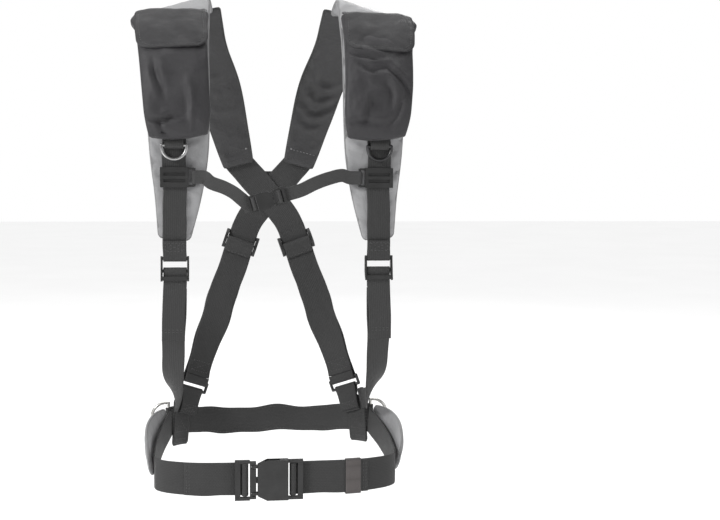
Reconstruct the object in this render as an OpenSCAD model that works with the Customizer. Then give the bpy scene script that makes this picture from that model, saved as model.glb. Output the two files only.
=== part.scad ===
// Shoulder and waist harness vest: padded shoulder straps with front pouches,
// crossed back straps, a sliding sternum strap and a waist belt.
// Frame: X to the wearer's left, Y to the wearer's back, Z up. The origin is midway
// between the two shoulder pads, level with their crests. "left" and "right" are the wearer's.

/* [Webbing] */
// Width of the front shoulder straps
front_web_w = 28; // [26:1:30]
// Width of the crossed back straps
cross_web_w = 38; // [35:1:40]
// Width of the waist belt
belt_web_w = 40; // [38:1:42]
// Width of the sternum strap
sternum_web_w = 16; // [15:1:17]
// Thickness of the wide webbing
web_t = 1.8; // [1.5:0.1:1.9]
// Thickness of the sternum webbing
thin_t = 1.2; // [1:0.1:1.3]

/* [Padding] */
// Thickness of the shoulder pads
pad_t = 8; // [6:0.5:9]
// Thickness of the padded back yokes
yoke_t = 6; // [4:0.5:6.5]
// Thickness of the hip pads
hip_pad_t = 8; // [6:0.5:9]

/* [Pouches] */
// Width of a shoulder pouch at its mouth
pouch_w = 90; // [84:1:92]
// Fabric thickness of the pouch walls
pouch_wall = 1.6; // [1.2:0.1:2]
// Depth of a pouch at its fullest
pouch_depth = 25; // [21:1:26]

/* [Rings] */
// Radius of the ring wire
ring_wire_r = 2; // [1.8:0.1:2.2]
// Centreline radius of a shoulder ring's bow
shoulder_ring_r = 14.5; // [14:0.5:15]
// Centreline radius of a hip ring's bow
hip_ring_r = 19; // [17:0.5:20]

/* [Hidden] */
$fn = 40;
merge = 0.05;           // overlap of the solids inside one piece
fit = 0.35;             // running gap between a bar and the webbing round it
seam = 0.3;             // space between webbing layers that are sewn together
layer = web_t + seam;
turn = ring_wire_r + fit + web_t/2;     // centreline radius of webbing round a bar
belt_t = 2.6;           // back belt and hip tab: doubled webbing

waist_z = -582;         // height of the front belt's middle
belt_front_y = -124;    // where the waist buckle lies
belt_sizing = [-7, 0.95];       // waist buckle: X of its middle, size factor
strap_x = 123;          // a front strap's middle
strap_y = -106;         // plane of the front straps below the pouches
slider_z = -216;        // height of the sternum strap's sliders
sternum_bar_x = 23.5;   // from a slider's middle to its sternum bar
sternum_bar_y = strap_y - 1.5;
sternum_bar_r = 1.6;
sternum_at = [-15.7, -118, -243.5];
sternum_lean = 16;      // how far the sternum buckle leans from level
sternum_k = 0.5;        // size factor of the sternum buckle
ring_bar = [strap_x, strap_y - web_t/2 - seam - web_t/2 - turn, -178];
adjuster_bar = [strap_x, strap_y - turn, -313];
adjuster_pitch = 15;    // from an adjuster's hinge bar to its friction bar
hip_ring_z = -543;

// Rows of a band: place x, y, z, width, then the direction across the band.
shoulder_rows = [
    [110, 24, -18, 70, 0.98, 0, -0.2], [114, 9, -10.5, 73, 0.98, 0, -0.2],
    [117, -7, -9, 76, 0.98, 0, -0.2], [119, -24, -15, 78, 0.98, 0, -0.17],
    [121, -42, -30, 80, 0.99, 0, -0.12], [122, -58, -50, 80, 1, 0, -0.06],
    [121.5, -73, -76, 79, 1, 0, 0], [120, -86, -108, 77, 1, 0, 0],
    [118, -94, -150, 73, 1, 0, 0], [117.5, -98, -195, 67, 1, 0, 0],
    [119, -98.5, -240, 54, 1, 0, 0], [124, -98.5, -291, 37, 1, 0, 0]
];
yoke_rows = [
    [109.5, 26, -20, 72, -0.98, 0, 0.2], [101, 46, -36, 71, -1, 0, 0.12],
    [87, 68, -58, 66, -1, 0, 0], [71, 89, -94, 59, -1, 0, 0],
    [58, 103.6, -140, 53, -1, 0, 0], [48, 112.6, -178, 48, -1, 0, 0], [41, 116.8, -204, 41, -1, 0, 0]
];
// the back strap that runs from the right yoke to the left hip, down to its straight part
cross_top = [[-52, 117.8, -180], [-43, 121.3, -197], [-31, 122.3, -211], [-15, 122.5, -229],
    [0, 122.5, -246], [14, 122.4, -263], [25, 122.2, -278], [32, 122, -292]];
cross_top_across = [0.946, 0, 0.324];
cross_end = [104, 94, -499];
cross_ring_height = 12;
cross_lift = layer;     // the right strap lies behind the left one
cross_twist = [75, 188, 35];    // the straight part twists between these places, by this angle
back_rows = [
    [133.5, 63, -550, 36, 0, 0, 1], [119, 88, -553, 36, 0, 0, 1], [92, 108, -557, 36, 0, 0, 1],
    [50, 119, -560, 36, 0, 0, 1], [0, 123, -561, 36, 0, 0, 1], [-50, 119, -560, 36, 0, 0, 1],
    [-92, 108, -557, 36, 0, 0, 1], [-119, 88, -553, 36, 0, 0, 1], [-133.5, 63, -550, 36, 0, 0, 1]
];
side_rows = [
    [151, -68.5, -579, 40, 0, 0, 1], [149, -35, -570, 39, 0, 0, 1],
    [143, 10, -559, 37, 0, 0, 1], [134.5, 58, -550.5, 36, 0, 0, 1]
];
belt_rows = [
    [150.5, -73.2, -582, 40, 0, 0, 1], [147, -86, -582, 40, 0, 0, 1], [135, -99, -582, 40, 0, 0, 1],
    [115, -108.5, -582, 40, 0, 0, 1], [92, -114.5, -582, 40, 0, 0, 1], [66, -117.4, -582, 40, 0, 0, 1]
];
lower_top = [
    [123, -106, -349.4, 28, 1, 0, 0], [124, -101, -385, 28, 1, 0, 0.05],
    [126.5, -88, -424, 28, 0.95, 0, 0.2], [127, -58, -468, 28, 0.8, 0.1, 0.45],
    [126.5, -10, -502, 28, 0.3, 0.2, 0.8], [127, 36, -516, 28, -0.1, 0.25, 0.9]
];

// ---- bands: closed solids swept along rows --------------------------------------------

function unit(v) = v/norm(v);
function clamp(i, n) = max(0, min(n, i));
function pos(r) = [r[0], r[1], r[2]];
function across(r) = [r[4], r[5], r[6]];
function make_row(p, w, a) = [p[0], p[1], p[2], w, a[0], a[1], a[2]];
// Catmull-Rom interpolation of whole rows at parameter t
function row(rows, t) = let(
    n = len(rows) - 1, i = clamp(floor(t), n - 1), u = t - i,
    a = rows[clamp(i - 1, n)], b = rows[i], c = rows[i + 1], d = rows[clamp(i + 2, n)])
    0.5*(2*b + (c - a)*u + (2*a - 5*b + 4*c - d)*u*u + (3*b - a - 3*c + d)*u*u*u);
function heading(rows, t) = unit(pos(row(rows, min(t + 0.02, len(rows) - 1)))
    - pos(row(rows, max(t - 0.02, 0))));
// a station is [place, across, outward normal, width]
function make_station(p, d, a, w, off = 0) = let(s = unit(a - (a*d)*d), o = cross(d, s))
    [p + off*o, s, o, w];
function station(rows, t, off = 0) = let(r = row(rows, t))
    make_station(pos(r), heading(rows, t), across(r), r[3], off);
function stations(rows, from, to, count, off = 0) =
    [for (i = [0:count]) station(rows, from + (to - from)*i/count, off)];
// stations of a plain polyline of rows
function polyline(rows) = let(n = len(rows) - 1) [for (i = [0:n])
    make_station(pos(rows[i]), unit(pos(rows[min(i + 1, n)]) - pos(rows[max(i - 1, 0)])),
        across(rows[i]), rows[i][3])];
function with_width(rows, w) = [for (r = rows) [r[0], r[1], r[2], w, r[4], r[5], r[6]]];
function set_width(s, w) = [s[0], s[1], s[2], w];
function mix(a, b, f) = [for (i = [0:3]) a[i]*(1 - f) + b[i]*f];

// outlines of a band, in units of its width and thickness
flat_outline = [[-0.5, -0.5], [0.5, -0.5], [0.5, 0.5], [-0.5, 0.5]];
function soft_outline(count, power) = [for (i = [0:count - 1]) let(
    c = cos(360*(i + 0.5)/count), s = sin(360*(i + 0.5)/count))
    [-0.5*sign(c)*pow(abs(c), power), -0.5*sign(s)*pow(abs(s), power)]];
function outline_at(st, thick, outline) =
    [for (p = outline) st[0] + p[0]*st[3]*st[1] + p[1]*thick*st[2]];
module loft(rings) {
    m = len(rings[0]);
    n = len(rings);
    sides = [for (i = [0:n - 2], j = [0:m - 1]) let(
        a = i*m + j, b = i*m + (j + 1)%m, c = a + m, d = b + m) each [[a, c, b], [b, c, d]]];
    caps = [[for (j = [0:m - 1]) j], [for (j = [m - 1:-1:0]) (n - 1)*m + j]];
    polyhedron([for (r = rings) each r], concat(sides, caps), convexity = 6);
}
module band(sts, thick, outline = flat_outline) {
    loft([for (s = sts) outline_at(s, thick, outline)]);
}
// webbing through places given in a local frame [origin, x, y, z]
function to_world(f, p) = f[0] + p[0]*f[1] + p[1]*f[2] + p[2]*f[3];
function frame_of(o, x, z) = [o, x, cross(z, x), z];
function local_rows(f, points, w, a) = [for (p = points) make_row(to_world(f, p), w, a)];
module placed(f) {
    multmatrix([[f[1][0], f[2][0], f[3][0], f[0][0]], [f[1][1], f[2][1], f[3][1], f[0][1]],
        [f[1][2], f[2][2], f[3][2], f[0][2]]]) children();
}
module sided(left) {
    if (left) children();
    else mirror([1, 0, 0]) children();
}
module bar_x(length, r) {
    translate([-length/2, 0, 0]) rotate([0, 90, 0]) cylinder(r = r, h = length);
}
// webbing folded over a bar along X at the origin, in the YZ plane: up at +y, down at -y
function fold(r) = [for (i = [0:8]) [0, r*cos(22.5*i), r*sin(22.5*i)]];

// ---- shoulder: pad, yoke, pouch and flap ----------------------------------------------

pouch_steps = 12;
pouch_from = 3.9;       // the pouch's mouth and foot along the pad
pouch_to = 8.42;

module shoulder_pad() {
    color("silver") band(stations(shoulder_rows, 0, len(shoulder_rows) - 1, 28), pad_t,
        soft_outline(14, 0.45));
}
module back_yoke() {
    color([0.17, 0.17, 0.18]) band(stations(yoke_rows, 0, len(yoke_rows) - 1, 16), yoke_t,
        soft_outline(12, 0.45));
}
pouch_mouth = 16;       // depth of the pouch at its mouth
function pouch_fill(u) = pouch_mouth + (pouch_depth - pouch_mouth)*sin(165*u) - 2*u*u;
// the space behind the pouch holds the front strap's end
function pouch_gap(u) = 0.6 + 14.5*u*u;
function pouch_width(u) = pouch_w - 13*u;
function pouch_station(u, off) = let(
    s = station(shoulder_rows, pouch_from + (pouch_to - pouch_from)*u, pad_t/2 + pouch_gap(u) + off))
    [s[0] + [4.5*(1 - u), 0, 0], s[1], s[2], pouch_width(u)];
// the pouch's outer face at grid place g, a distance off it
function pouch_face(g, off) = let(i = min(floor(g), pouch_steps - 1), a = i/pouch_steps,
    b = (i + 1)/pouch_steps) mix(pouch_station(a, pouch_fill(a) + off),
    pouch_station(b, pouch_fill(b) + off), g - i);
module pouch() {
    outline = soft_outline(16, 0.5);
    outer = [for (i = [pouch_steps:-1:0]) let(u = i/pouch_steps, f = pouch_fill(u))
        outline_at(pouch_station(u, f/2), f, outline)];
    inner = [for (i = [0:pouch_steps - 1]) let(u = i/pouch_steps, f = pouch_fill(u),
        s = pouch_station(u, f/2))
        outline_at(set_width(s, s[3] - 2*pouch_wall), f - 2*pouch_wall, outline)];
    color([0.25, 0.25, 0.27]) loft(concat(inverted(outer), inverted(inner)));
}
function inverted(rings) = [for (r = rings) [for (j = [len(r) - 1:-1:0]) r[j]]];
flap_t = 1.6;
patch_t = 0.6;
flap_at = 3;            // place of the flap's hinge seam along the pad
flap_off = 2.8;         // from the pouch's face to the flap's middle
module pouch_flap() {
    top = [for (p = [[0, 1, 78], [0.25, 5.5, 82], [0.5, 11.5, 86], [0.75, 17.5, 90]]) let(
        s = station(shoulder_rows, flap_at + p[0], pad_t/2 + p[1]))
        [s[0] + [5*p[0], 0, 0], s[1], s[2], p[2]]];
    front = [for (g = [0, 1, 2, 3, 4, 5, 5.8]) set_width(pouch_face(g, flap_off), 92)];
    color([0.24, 0.24, 0.26]) band(concat(top, front), flap_t);
}
module flap_hook_patch() {
    color([0.12, 0.12, 0.12])
        band([for (g = [4.2, 5, 5.6]) set_width(pouch_face(g, 1.35), 50)], patch_t);
}
module pouch_loop_patch() {
    color([0.15, 0.15, 0.15])
        band([for (g = [4.1, 5, 5.7]) set_width(pouch_face(g, 0.4), 54)], patch_t);
}

// ---- front strap, shoulder ring, adjuster ---------------------------------------------

module front_strap() {
    y = strap_y;
    back = [for (p = [[-99.4, -148], [-100.4, -156], [-104.9, -165], [y, -172], [y, -303]])
        make_row([strap_x, p[0], p[1]], front_web_w, [1, 0, 0])];
    round_bar = local_rows([adjuster_bar, [1, 0, 0], [0, 1, 0], [0, 0, -1]],
        fold(turn), front_web_w, [1, 0, 0]);
    front = [for (p = [[-turn, -306], [-turn + 2.2, -299], [-turn + 3.4, -292]])
        make_row([strap_x, adjuster_bar[1] + p[0], p[1]], front_web_w, [1, 0, 0])];
    color([0.2, 0.2, 0.2]) band(polyline(concat(back, round_bar, front)), web_t);
}
module shoulder_ring_keeper() {
    width = 2*shoulder_ring_r - 7;
    f = [ring_bar, [1, 0, 0], [0, 1, 0], [0, 0, -1]];
    back = [[0, turn, -16], [0, turn, -4]];
    front = [[0, -turn, -4], [0, -turn + 2.2, -9], [0, turn - layer, -14]];
    color([0.2, 0.2, 0.2])
        band(polyline(local_rows(f, concat(back, fold(turn), front), width, [1, 0, 0])), web_t);
}
// D ring: bar along X at the origin, bow towards -Z
module d_ring(bow_r, leg) {
    bar_x(2*bow_r, ring_wire_r);
    for (side = [-1, 1]) {
        translate([side*bow_r, 0, -leg]) cylinder(r = ring_wire_r, h = leg);
        translate([side*bow_r, 0, 0]) sphere(r = ring_wire_r);
    }
    translate([0, 0, -leg]) rotate([-90, 0, 0])
        rotate_extrude(angle = 180) translate([bow_r, 0]) circle(r = ring_wire_r);
}
module shoulder_ring() {
    color("gray") translate(ring_bar) d_ring(shoulder_ring_r, 2);
}
module strap_adjuster() {
    inside = front_web_w + 1;
    rail = 2.4;
    drop = adjuster_pitch + 8;      // down to the lip
    lip = [2.2, 5];
    color([0.14, 0.14, 0.14]) translate(adjuster_bar) {
        bar_x(inside + 2*merge, ring_wire_r);
        translate([0, 0, -adjuster_pitch]) bar_x(inside + 2*merge, ring_wire_r);
        for (side = [-1, 1]) translate([side*(inside + rail)/2, 0, 0]) rotate([0, 90, 0])
            linear_extrude(rail, center = true)
            polygon([[-3, -2], [-2, -3], [2, -3], [drop + 2, -turn - web_t - 2.6],
                [drop + 4, -turn - web_t - 2], [drop + 3, -turn - web_t + 0.4],
                [adjuster_pitch + 3, 2.4], [adjuster_pitch, 3], [0, 3], [-2.4, 2.4]]);
        translate([-inside/2 - merge, -turn - web_t - 2.6, -drop - 3])
            cube([inside + 2*merge, lip[0], lip[1]]);
    }
}
module adjuster_tail() {
    f = [adjuster_bar - [0, 0, adjuster_pitch], [1, 0, 0], [0, 1, 0], [0, 0, 1]];
    back = [[0, turn, -20.7], [0, turn, -4]];
    front = [[0, -turn, -4], [0, -turn, -16], [0.5, -turn + 1.8, -30], [2, -turn + 1.2, -55],
        [2.5, -turn + 5, -85]];
    color([0.2, 0.2, 0.2]) band(polyline(local_rows(f, concat(back, fold(turn), front),
        front_web_w - 0.4, [1, 0, 0])), web_t);
}
// the lower strap ends on the hip tab's inner face
tab_off = -belt_t - seam;
on_tab_off = tab_off - belt_t/2 - seam - web_t/2;
function on_tab(t, z, off) = let(p = station(back_rows, t, off)[0]) [p[0], p[1], z];
lower_rows = concat(with_width(lower_top, front_web_w), [
    make_row(on_tab(0.12, -520, on_tab_off - 1.7), front_web_w, [0, 0, 1]),
    make_row(on_tab(0.42, -523, on_tab_off - 0.8), front_web_w, [0, 0, 1])]);
module lower_strap() {
    color([0.2, 0.2, 0.2]) band(stations(lower_rows, 0, len(lower_rows) - 1, 24), web_t);
}

// ---- hip and back belt --------------------------------------------------------------------

module back_belt() {
    color([0.19, 0.19, 0.2]) band(stations(back_rows, 0, len(back_rows) - 1, 32), belt_t);
}
module hip_tab() {
    color([0.19, 0.19, 0.2])
        band([for (s = stations(back_rows, 0.02, 1.3, 8, tab_off)) set_width(s, 64)], belt_t);
}
module side_belt() {
    color([0.2, 0.2, 0.2]) band(stations(side_rows, 0, len(side_rows) - 1, 12), web_t);
}
module hip_pad() {
    last = 2.86;
    off = web_t/2 + seam + hip_pad_t/2;
    pad = [for (i = [0:14]) let(t = last*i/14, s = station(side_rows, t, off))
        [s[0] + [0, 0, 4], s[1], s[2], 24 + 24*sin(180*pow(0.1 + 0.8*i/14, 0.75))]];
    color("silver") band(pad, hip_pad_t, soft_outline(12, 0.45));
}
hip_ring_t = 0.12;      // place of a hip ring along the back belt
function hip_ring_frame() = let(s = station(back_rows, hip_ring_t,
    belt_t/2 + seam + web_t/2 + turn), n = unit([s[2][0], s[2][1], 0]))
    [[s[0][0], s[0][1], hip_ring_z], [0, 0, 1], n, [-n[1], n[0], 0]];
module hip_ring_keeper() {
    path = concat([[0, -turn, 15], [0, -turn, 4]],
        [for (i = [0:8]) [0, -turn*cos(22.5*i), -turn*sin(22.5*i)]],
        [[0, turn, 4], [0, turn - 2.4, 9], [0, -turn + layer, 15]]);
    color([0.2, 0.2, 0.2])
        band(polyline(local_rows(hip_ring_frame(), path, 24, [0, 0, 1])), web_t);
}
module hip_ring() {
    color("silver") translate(hip_ring_frame()[0]) rotate([0, -90, 0]) d_ring(hip_ring_r, 3);
}

// ---- cross straps at the back, for the strap that ends at the left hip ---------------------
// lift: how far this strap lies behind the other where they cross

function cross_start(lift) = cross_top[len(cross_top) - 1] + [0, lift, 0];
function cross_up(lift) = unit(cross_start(lift) - cross_end);
function cross_side(lift) = let(e = cross_up(lift)) unit([1, 0, 0] - e[0]*e);
function cross_frame(p, lift) = frame_of(p, cross_side(lift), cross_up(lift));
// the twisted frame of the straight part, a distance down it
function cross_turned(down, lift) = let(f = cross_frame(cross_start(lift) - down*cross_up(lift), lift),
    n = cross_twist, q = clamp((down - n[0])/(n[1] - n[0]), 1), angle = n[2]*q*q*(3 - 2*q))
    [f[0], cos(angle)*f[1] - sin(angle)*f[2], cos(angle)*f[2] + sin(angle)*f[1], f[3]];
function cross_length(lift) = norm(cross_start(lift) - cross_end);
// rows along the straight part, at a distance behind its middle
cross_step = 4;
function cross_run(from, to, off, lift) = let(step = from < to ? cross_step : -cross_step)
    [for (down = [from:step:to]) let(f = cross_turned(down, lift))
    make_row(f[0] + off*f[2], cross_web_w, f[1])];
// frame of the ring's upper bar
function ring_frame(lift) = let(f = cross_turned(cross_length(lift), lift))
    [f[0] - turn*f[2], f[1], f[2], f[3]];
module cross_strap(lift) {
    f = ring_frame(lift);
    a = f[1];
    top = [for (i = [0:len(cross_top) - 2])
        make_row(cross_top[i] + [0, lift, 0], cross_web_w, cross_top_across)];
    run = cross_run(0, cross_length(lift) - 8, 0, lift);
    loop = local_rows(f, concat([[0, turn, 4]],
        [for (i = [0:8]) [0, turn*cos(22.5*i), -turn*sin(22.5*i)]],
        [[0, -turn, 4], [0, -turn + 0.4, 8]]), cross_web_w, a);
    color([0.2, 0.2, 0.2]) band(polyline(concat(top, run, loop)), web_t);
}
slider_drop = 20;       // from the straight part's start to the slider
slider_bar_r = 1.5;
slider_turn = slider_bar_r + fit + web_t/2;
function slider_frame(lift) = cross_frame(cross_start(lift) - slider_drop*cross_up(lift), lift);
module cross_slider(lift) {
    inside = cross_web_w + 1;
    outer_y = web_t/2 + fit + 1.2;
    centre_y = -layer - slider_turn;
    color([0.14, 0.14, 0.14]) placed(slider_frame(lift)) {
        for (z = [-10.5, 10.5]) translate([0, outer_y, z])
            cube([inside + 2*merge, 2.4, 5], center = true);
        translate([0, centre_y, 0]) bar_x(inside + 2*merge, slider_bar_r);
        for (side = [-1, 1]) translate([side*(inside/2 + 2), 0, 0]) rotate([0, 90, 0])
            linear_extrude(4, center = true) polygon([[-13.5, outer_y], [-12, outer_y + 1.2],
                [12, outer_y + 1.2], [13.5, outer_y], [13, -1.5], [7, centre_y - 1.2],
                [4, centre_y - 1.8], [-4, centre_y - 1.8], [-7, centre_y - 1.2], [-13, -1.5]]);
    }
}
module cross_return(lift) {
    f = ring_frame(lift);
    g = slider_frame(lift);
    centre_y = -layer - slider_turn;
    a = cross_side(lift);
    low = concat(local_rows(f, [[0, -turn + 0.5, 8.4], [0, turn - layer - 1, 20]], cross_web_w, f[1]),
        cross_run(184, 72, -layer - 0.25, lift));
    high = local_rows(g, concat([[0, -layer, -24], [0, -layer, -5]],
        [for (i = [0:8]) [0, centre_y + slider_turn*cos(22.5*i), slider_turn*sin(22.5*i)]],
        [[0, centre_y - slider_turn, -4], [0, centre_y - slider_turn + 2, -10],
            [0, -2*layer, -18]]), cross_web_w, a);
    color([0.2, 0.2, 0.2]) band(polyline(concat(low, high)), web_t);
}
module cross_patch() {
    color([0.17, 0.17, 0.17]) translate([-19, 125.9, -272]) cube([38, 1.4, 60]);
}
module cross_ring(lift) {
    half = (cross_web_w + 1)/2 + ring_wire_r;
    color([0.14, 0.14, 0.14]) placed(ring_frame(lift)) for (z = [0, -cross_ring_height]) {
        translate([0, 0, z]) bar_x(2*half, ring_wire_r);
        for (side = [-1, 1]) {
            translate([side*half, 0, z]) sphere(r = ring_wire_r);
            translate([side*half, 0, -cross_ring_height])
                cylinder(r = ring_wire_r, h = cross_ring_height);
        }
    }
}
module ring_tongue(lift) {
    width = cross_web_w - 6;
    f = ring_frame(lift);
    a = f[1];
    flat = [0, 0, 0.34] - 0.94*heading(back_rows, 1.06);
    mid = unit(2*a + flat);
    off = on_tab_off - 2.7;         // the tab curves away from a flat tongue
    z = -cross_ring_height;
    rows = concat(
        [make_row(on_tab(0.97, -543, off), width, flat),
            make_row(on_tab(1.14, -528, off), width, flat)],
        local_rows(f, [[0, turn, z - 5]], width, mid),
        local_rows(f, [for (p = fold(turn)) p + [0, 0, z]], width, a),
        local_rows(f, [[0, -turn, z - 5]], width, mid),
        [make_row(on_tab(1.12, -530, off - layer - 0.3), width, flat),
            make_row(on_tab(1, -540, off - layer), width, flat)]);
    color([0.2, 0.2, 0.2]) band(polyline(rows), web_t);
}

// ---- side release buckles -----------------------------------------------------------------
// Local frame: X the pull direction, plug towards -X, Y through the buckle, Z across it.
// w: webbing width, t: webbing thickness, k: size factor

function bar_r(k) = 0.4 + 1.6*k;
function slot(t, k) = t + 2*fit + 1.4*k;
function end_length(t, k) = 2*slot(t, k) + 2*bar_r(k) + 7*k;
module web_end(w, t, k) {
    high = w + 10*k;
    length = end_length(t, k);
    thick = 2*bar_r(k) + 0.8*k;
    for (side = [-1, 1]) translate([-merge, -thick/2, side*(high/2 - 2.1*k) - 2.1*k])
        cube([length + merge, thick, 4.2*k]);
    translate([slot(t, k) + bar_r(k), 0, 0]) cylinder(r = bar_r(k), h = w + 3*k, center = true);
    translate([length - 7*k, -bar_r(k), -w/2 - 1.5*k]) cube([7*k, 2*bar_r(k), w + 3*k]);
}
function root_x(k) = -25*k;
function root_z(w, k) = w/2 - 3.5*k;
module buckle_socket(w, t, k) {
    half = w/2 + 5*k;
    difference() {
        rotate([90, 0, 0]) linear_extrude(12*k, center = true)
            polygon([[-19*k, -half + 6*k], [-15*k, -half + 4*k], [-7*k, -half], [20*k, -half],
                [20*k, half], [-7*k, half], [-15*k, half - 4*k], [-19*k, half - 6*k]]);
        translate([-20*k, -4*k, -w/2 + 0.6*k]) cube([35*k, 8*k, w - 1.2*k]);
        for (side = [-1, 1]) translate([-9.5*k, -4*k, side*(w/2 + 3*k) - 5*k])
            cube([19*k, 8*k, 10*k]);
    }
    translate([20*k, 0, 0]) web_end(w, t, k);
}
module buckle_plug(w, t, k) {
    difference() {
        union() {
            translate([-29*k, -3.6*k, -w/2 - 3*k]) cube([8*k, 7.2*k, w + 6*k]);
            translate([-22*k, -2.6*k, -3.5*k]) cube([33*k, 5.2*k, 7*k]);
        }
        for (side = [-1, 1]) translate([root_x(k), 0, side*root_z(w, k)]) {
            rotate([90, 0, 0]) cylinder(r = 2.7*k, h = 9*k, center = true);
            translate([0, -4.5*k, -3.2*k]) cube([6*k, 9*k, 6.4*k]);
        }
    }
    translate([-29*k, 0, 0]) mirror([1, 0, 0]) web_end(w, t, k);
}
// one springy arm, upper side; its finger pad shows in the socket's side window
module buckle_prong(w, k) {
    z = root_z(w, k);
    x = root_x(k);
    rotate([90, 0, 0]) linear_extrude(6.4*k, center = true) {
        translate([x, z]) circle(r = 2.2*k);
        polygon([[x, z - 1.8*k], [-6*k, z - 1.4*k], [6*k, z - 1*k], [9*k, z + 0.5*k],
            [8.8*k, w/2], [6*k, w/2 + 2.6*k], [-1*k, w/2 + 3*k], [-8.9*k, w/2 + 1.6*k],
            [-9*k, w/2 - 1.1*k], [-12*k, z + 2*k], [x, z + 1.8*k]]);
    }
}
// the way of a webbing round a buckle's bar: both layers leave behind the end bar.
// x0 is the bar's place, s the side its end bar is on; inner layer first
function buckle_turn(x0, s, t, k) = let(q = bar_r(k) + slot(t, k), r = bar_r(k) + fit + t/2,
    gap = t + seam) concat(
    [[x0 + s*1.39*q, 0.73*q + gap, 0], [x0 + s*0.52*q, 0.7*q + gap, 0],
        [x0 - s*0.1*q, 0.62*q + t, 0], [x0 - s*0.5*q, 0.38*q, 0]],
    [for (i = [0:6]) [x0 - s*r*cos(30*i), -r*sin(30*i), 0]],
    [[x0 + s*0.6*q, 0.29*q, 0], [x0 + s*0.92*q, 0.66*q, 0], [x0 + s*1.39*q, 0.73*q, 0]]);

// ---- waist ----------------------------------------------------------------------------------

belt_k = belt_sizing[1];
module at_waist() {
    translate([belt_sizing[0], belt_front_y, waist_z]) children();
}
// side: 1 for the left belt end in the socket, -1 for the right one in the plug
function waist_bar(side) = side*belt_sizing[0]
    + (side > 0 ? 20 : 29)*belt_k + bar_r(belt_k) + slot(web_t, belt_k);
module front_belt(side, tail_to) {
    last = len(belt_rows) - 1;
    main = [for (s = stations(belt_rows, 0, last, 16)) s[0]];
    turned = [for (p = buckle_turn(waist_bar(side), 1, web_t, belt_k))
        [p[0], belt_front_y + p[1], waist_z]];
    tail = [for (i = [0:6]) station(belt_rows, last - (last - tail_to)*i/6, -layer)[0]];
    points = concat(main, turned, tail);
    color([0.2, 0.2, 0.2]) sided(side > 0)
        band(polyline([for (p = points) make_row(p, belt_web_w, [0, 0, 1])]), web_t);
}
module belt_keeper() {
    st = [for (t = [3.62, 4, 4.33]) station(belt_rows, t, -layer/2)];
    inner = [2*web_t + seam + 1, belt_web_w + 1.2];
    wall = 1.2;
    rings = function(dw, dt) [for (s = st)
        outline_at(set_width(s, inner[1] + dw), inner[0] + dt, flat_outline)];
    color([0.28, 0.26, 0.26]) loop_band(rings(2*wall, 2*wall), rings(0, 0));
}
// a tube of webbing between an outer and an inner run of outlines
module loop_band(outer, inner) {
    n = len(outer);
    m = len(outer[0]);
    points = concat([for (r = outer) each r], [for (r = inner) each r]);
    sides = [for (i = [0:n - 2], j = [0:m - 1]) let(
        a = i*m + j, b = i*m + (j + 1)%m, c = a + m, d = b + m, k = n*m)
        each [[a, c, b], [b, c, d], [k + a, k + b, k + c], [k + b, k + d, k + c]]];
    ends = [for (e = [0, 1], j = [0:m - 1]) let(
        a = e*(n - 1)*m + j, b = e*(n - 1)*m + (j + 1)%m, k = n*m)
        each e == 0 ? [[a, b, k + a], [b, k + b, k + a]] : [[a, k + a, b], [b, k + a, k + b]]];
    polyhedron(points, concat(sides, ends), convexity = 4);
}

// ---- sternum --------------------------------------------------------------------------------

// the sternum buckle's plug points to the wearer's left
function sternum_frame() = [sternum_at, [-cos(sternum_lean), 0, -sin(sternum_lean)], [0, 1, 0],
    [sin(sternum_lean), 0, -cos(sternum_lean)]];
module sternum_slider() {
    inside = front_web_w + 1;
    high = 24;
    front = 3.2;
    back = 1.6;
    gap = web_t + 2*fit;
    arm = [sternum_bar_x - inside/2, 3.2, 2.8];
    color([0.14, 0.14, 0.14]) translate([strap_x, strap_y, slider_z]) {
        difference() {
            translate([-inside/2 - 2.4, -gap/2 - front, -high/2])
                cube([inside + 4.8, front + gap + back, high]);
            translate([-inside/2, -gap/2, -high/2 - 1]) cube([inside, gap, high + 2]);
            for (z = [-6, 2]) translate([-inside/2 + 1.5, -gap/2 - front - 1, z])
                cube([inside - 3, front, 4]);
        }
        // side bar that the sternum webbing loops round
        translate([-sternum_bar_x, sternum_bar_y - strap_y, 0])
            cylinder(r = sternum_bar_r, h = sternum_web_w + 6, center = true);
        for (side = [-1, 1]) translate([-sternum_bar_x, sternum_bar_y - strap_y - arm[1]/2,
            side*(sternum_web_w/2 + 2.2) - arm[2]/2]) cube(arm);
    }
}
function lean_across(f) = [-sin(sternum_lean)*f, 0, cos(sternum_lean*f)];
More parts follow.
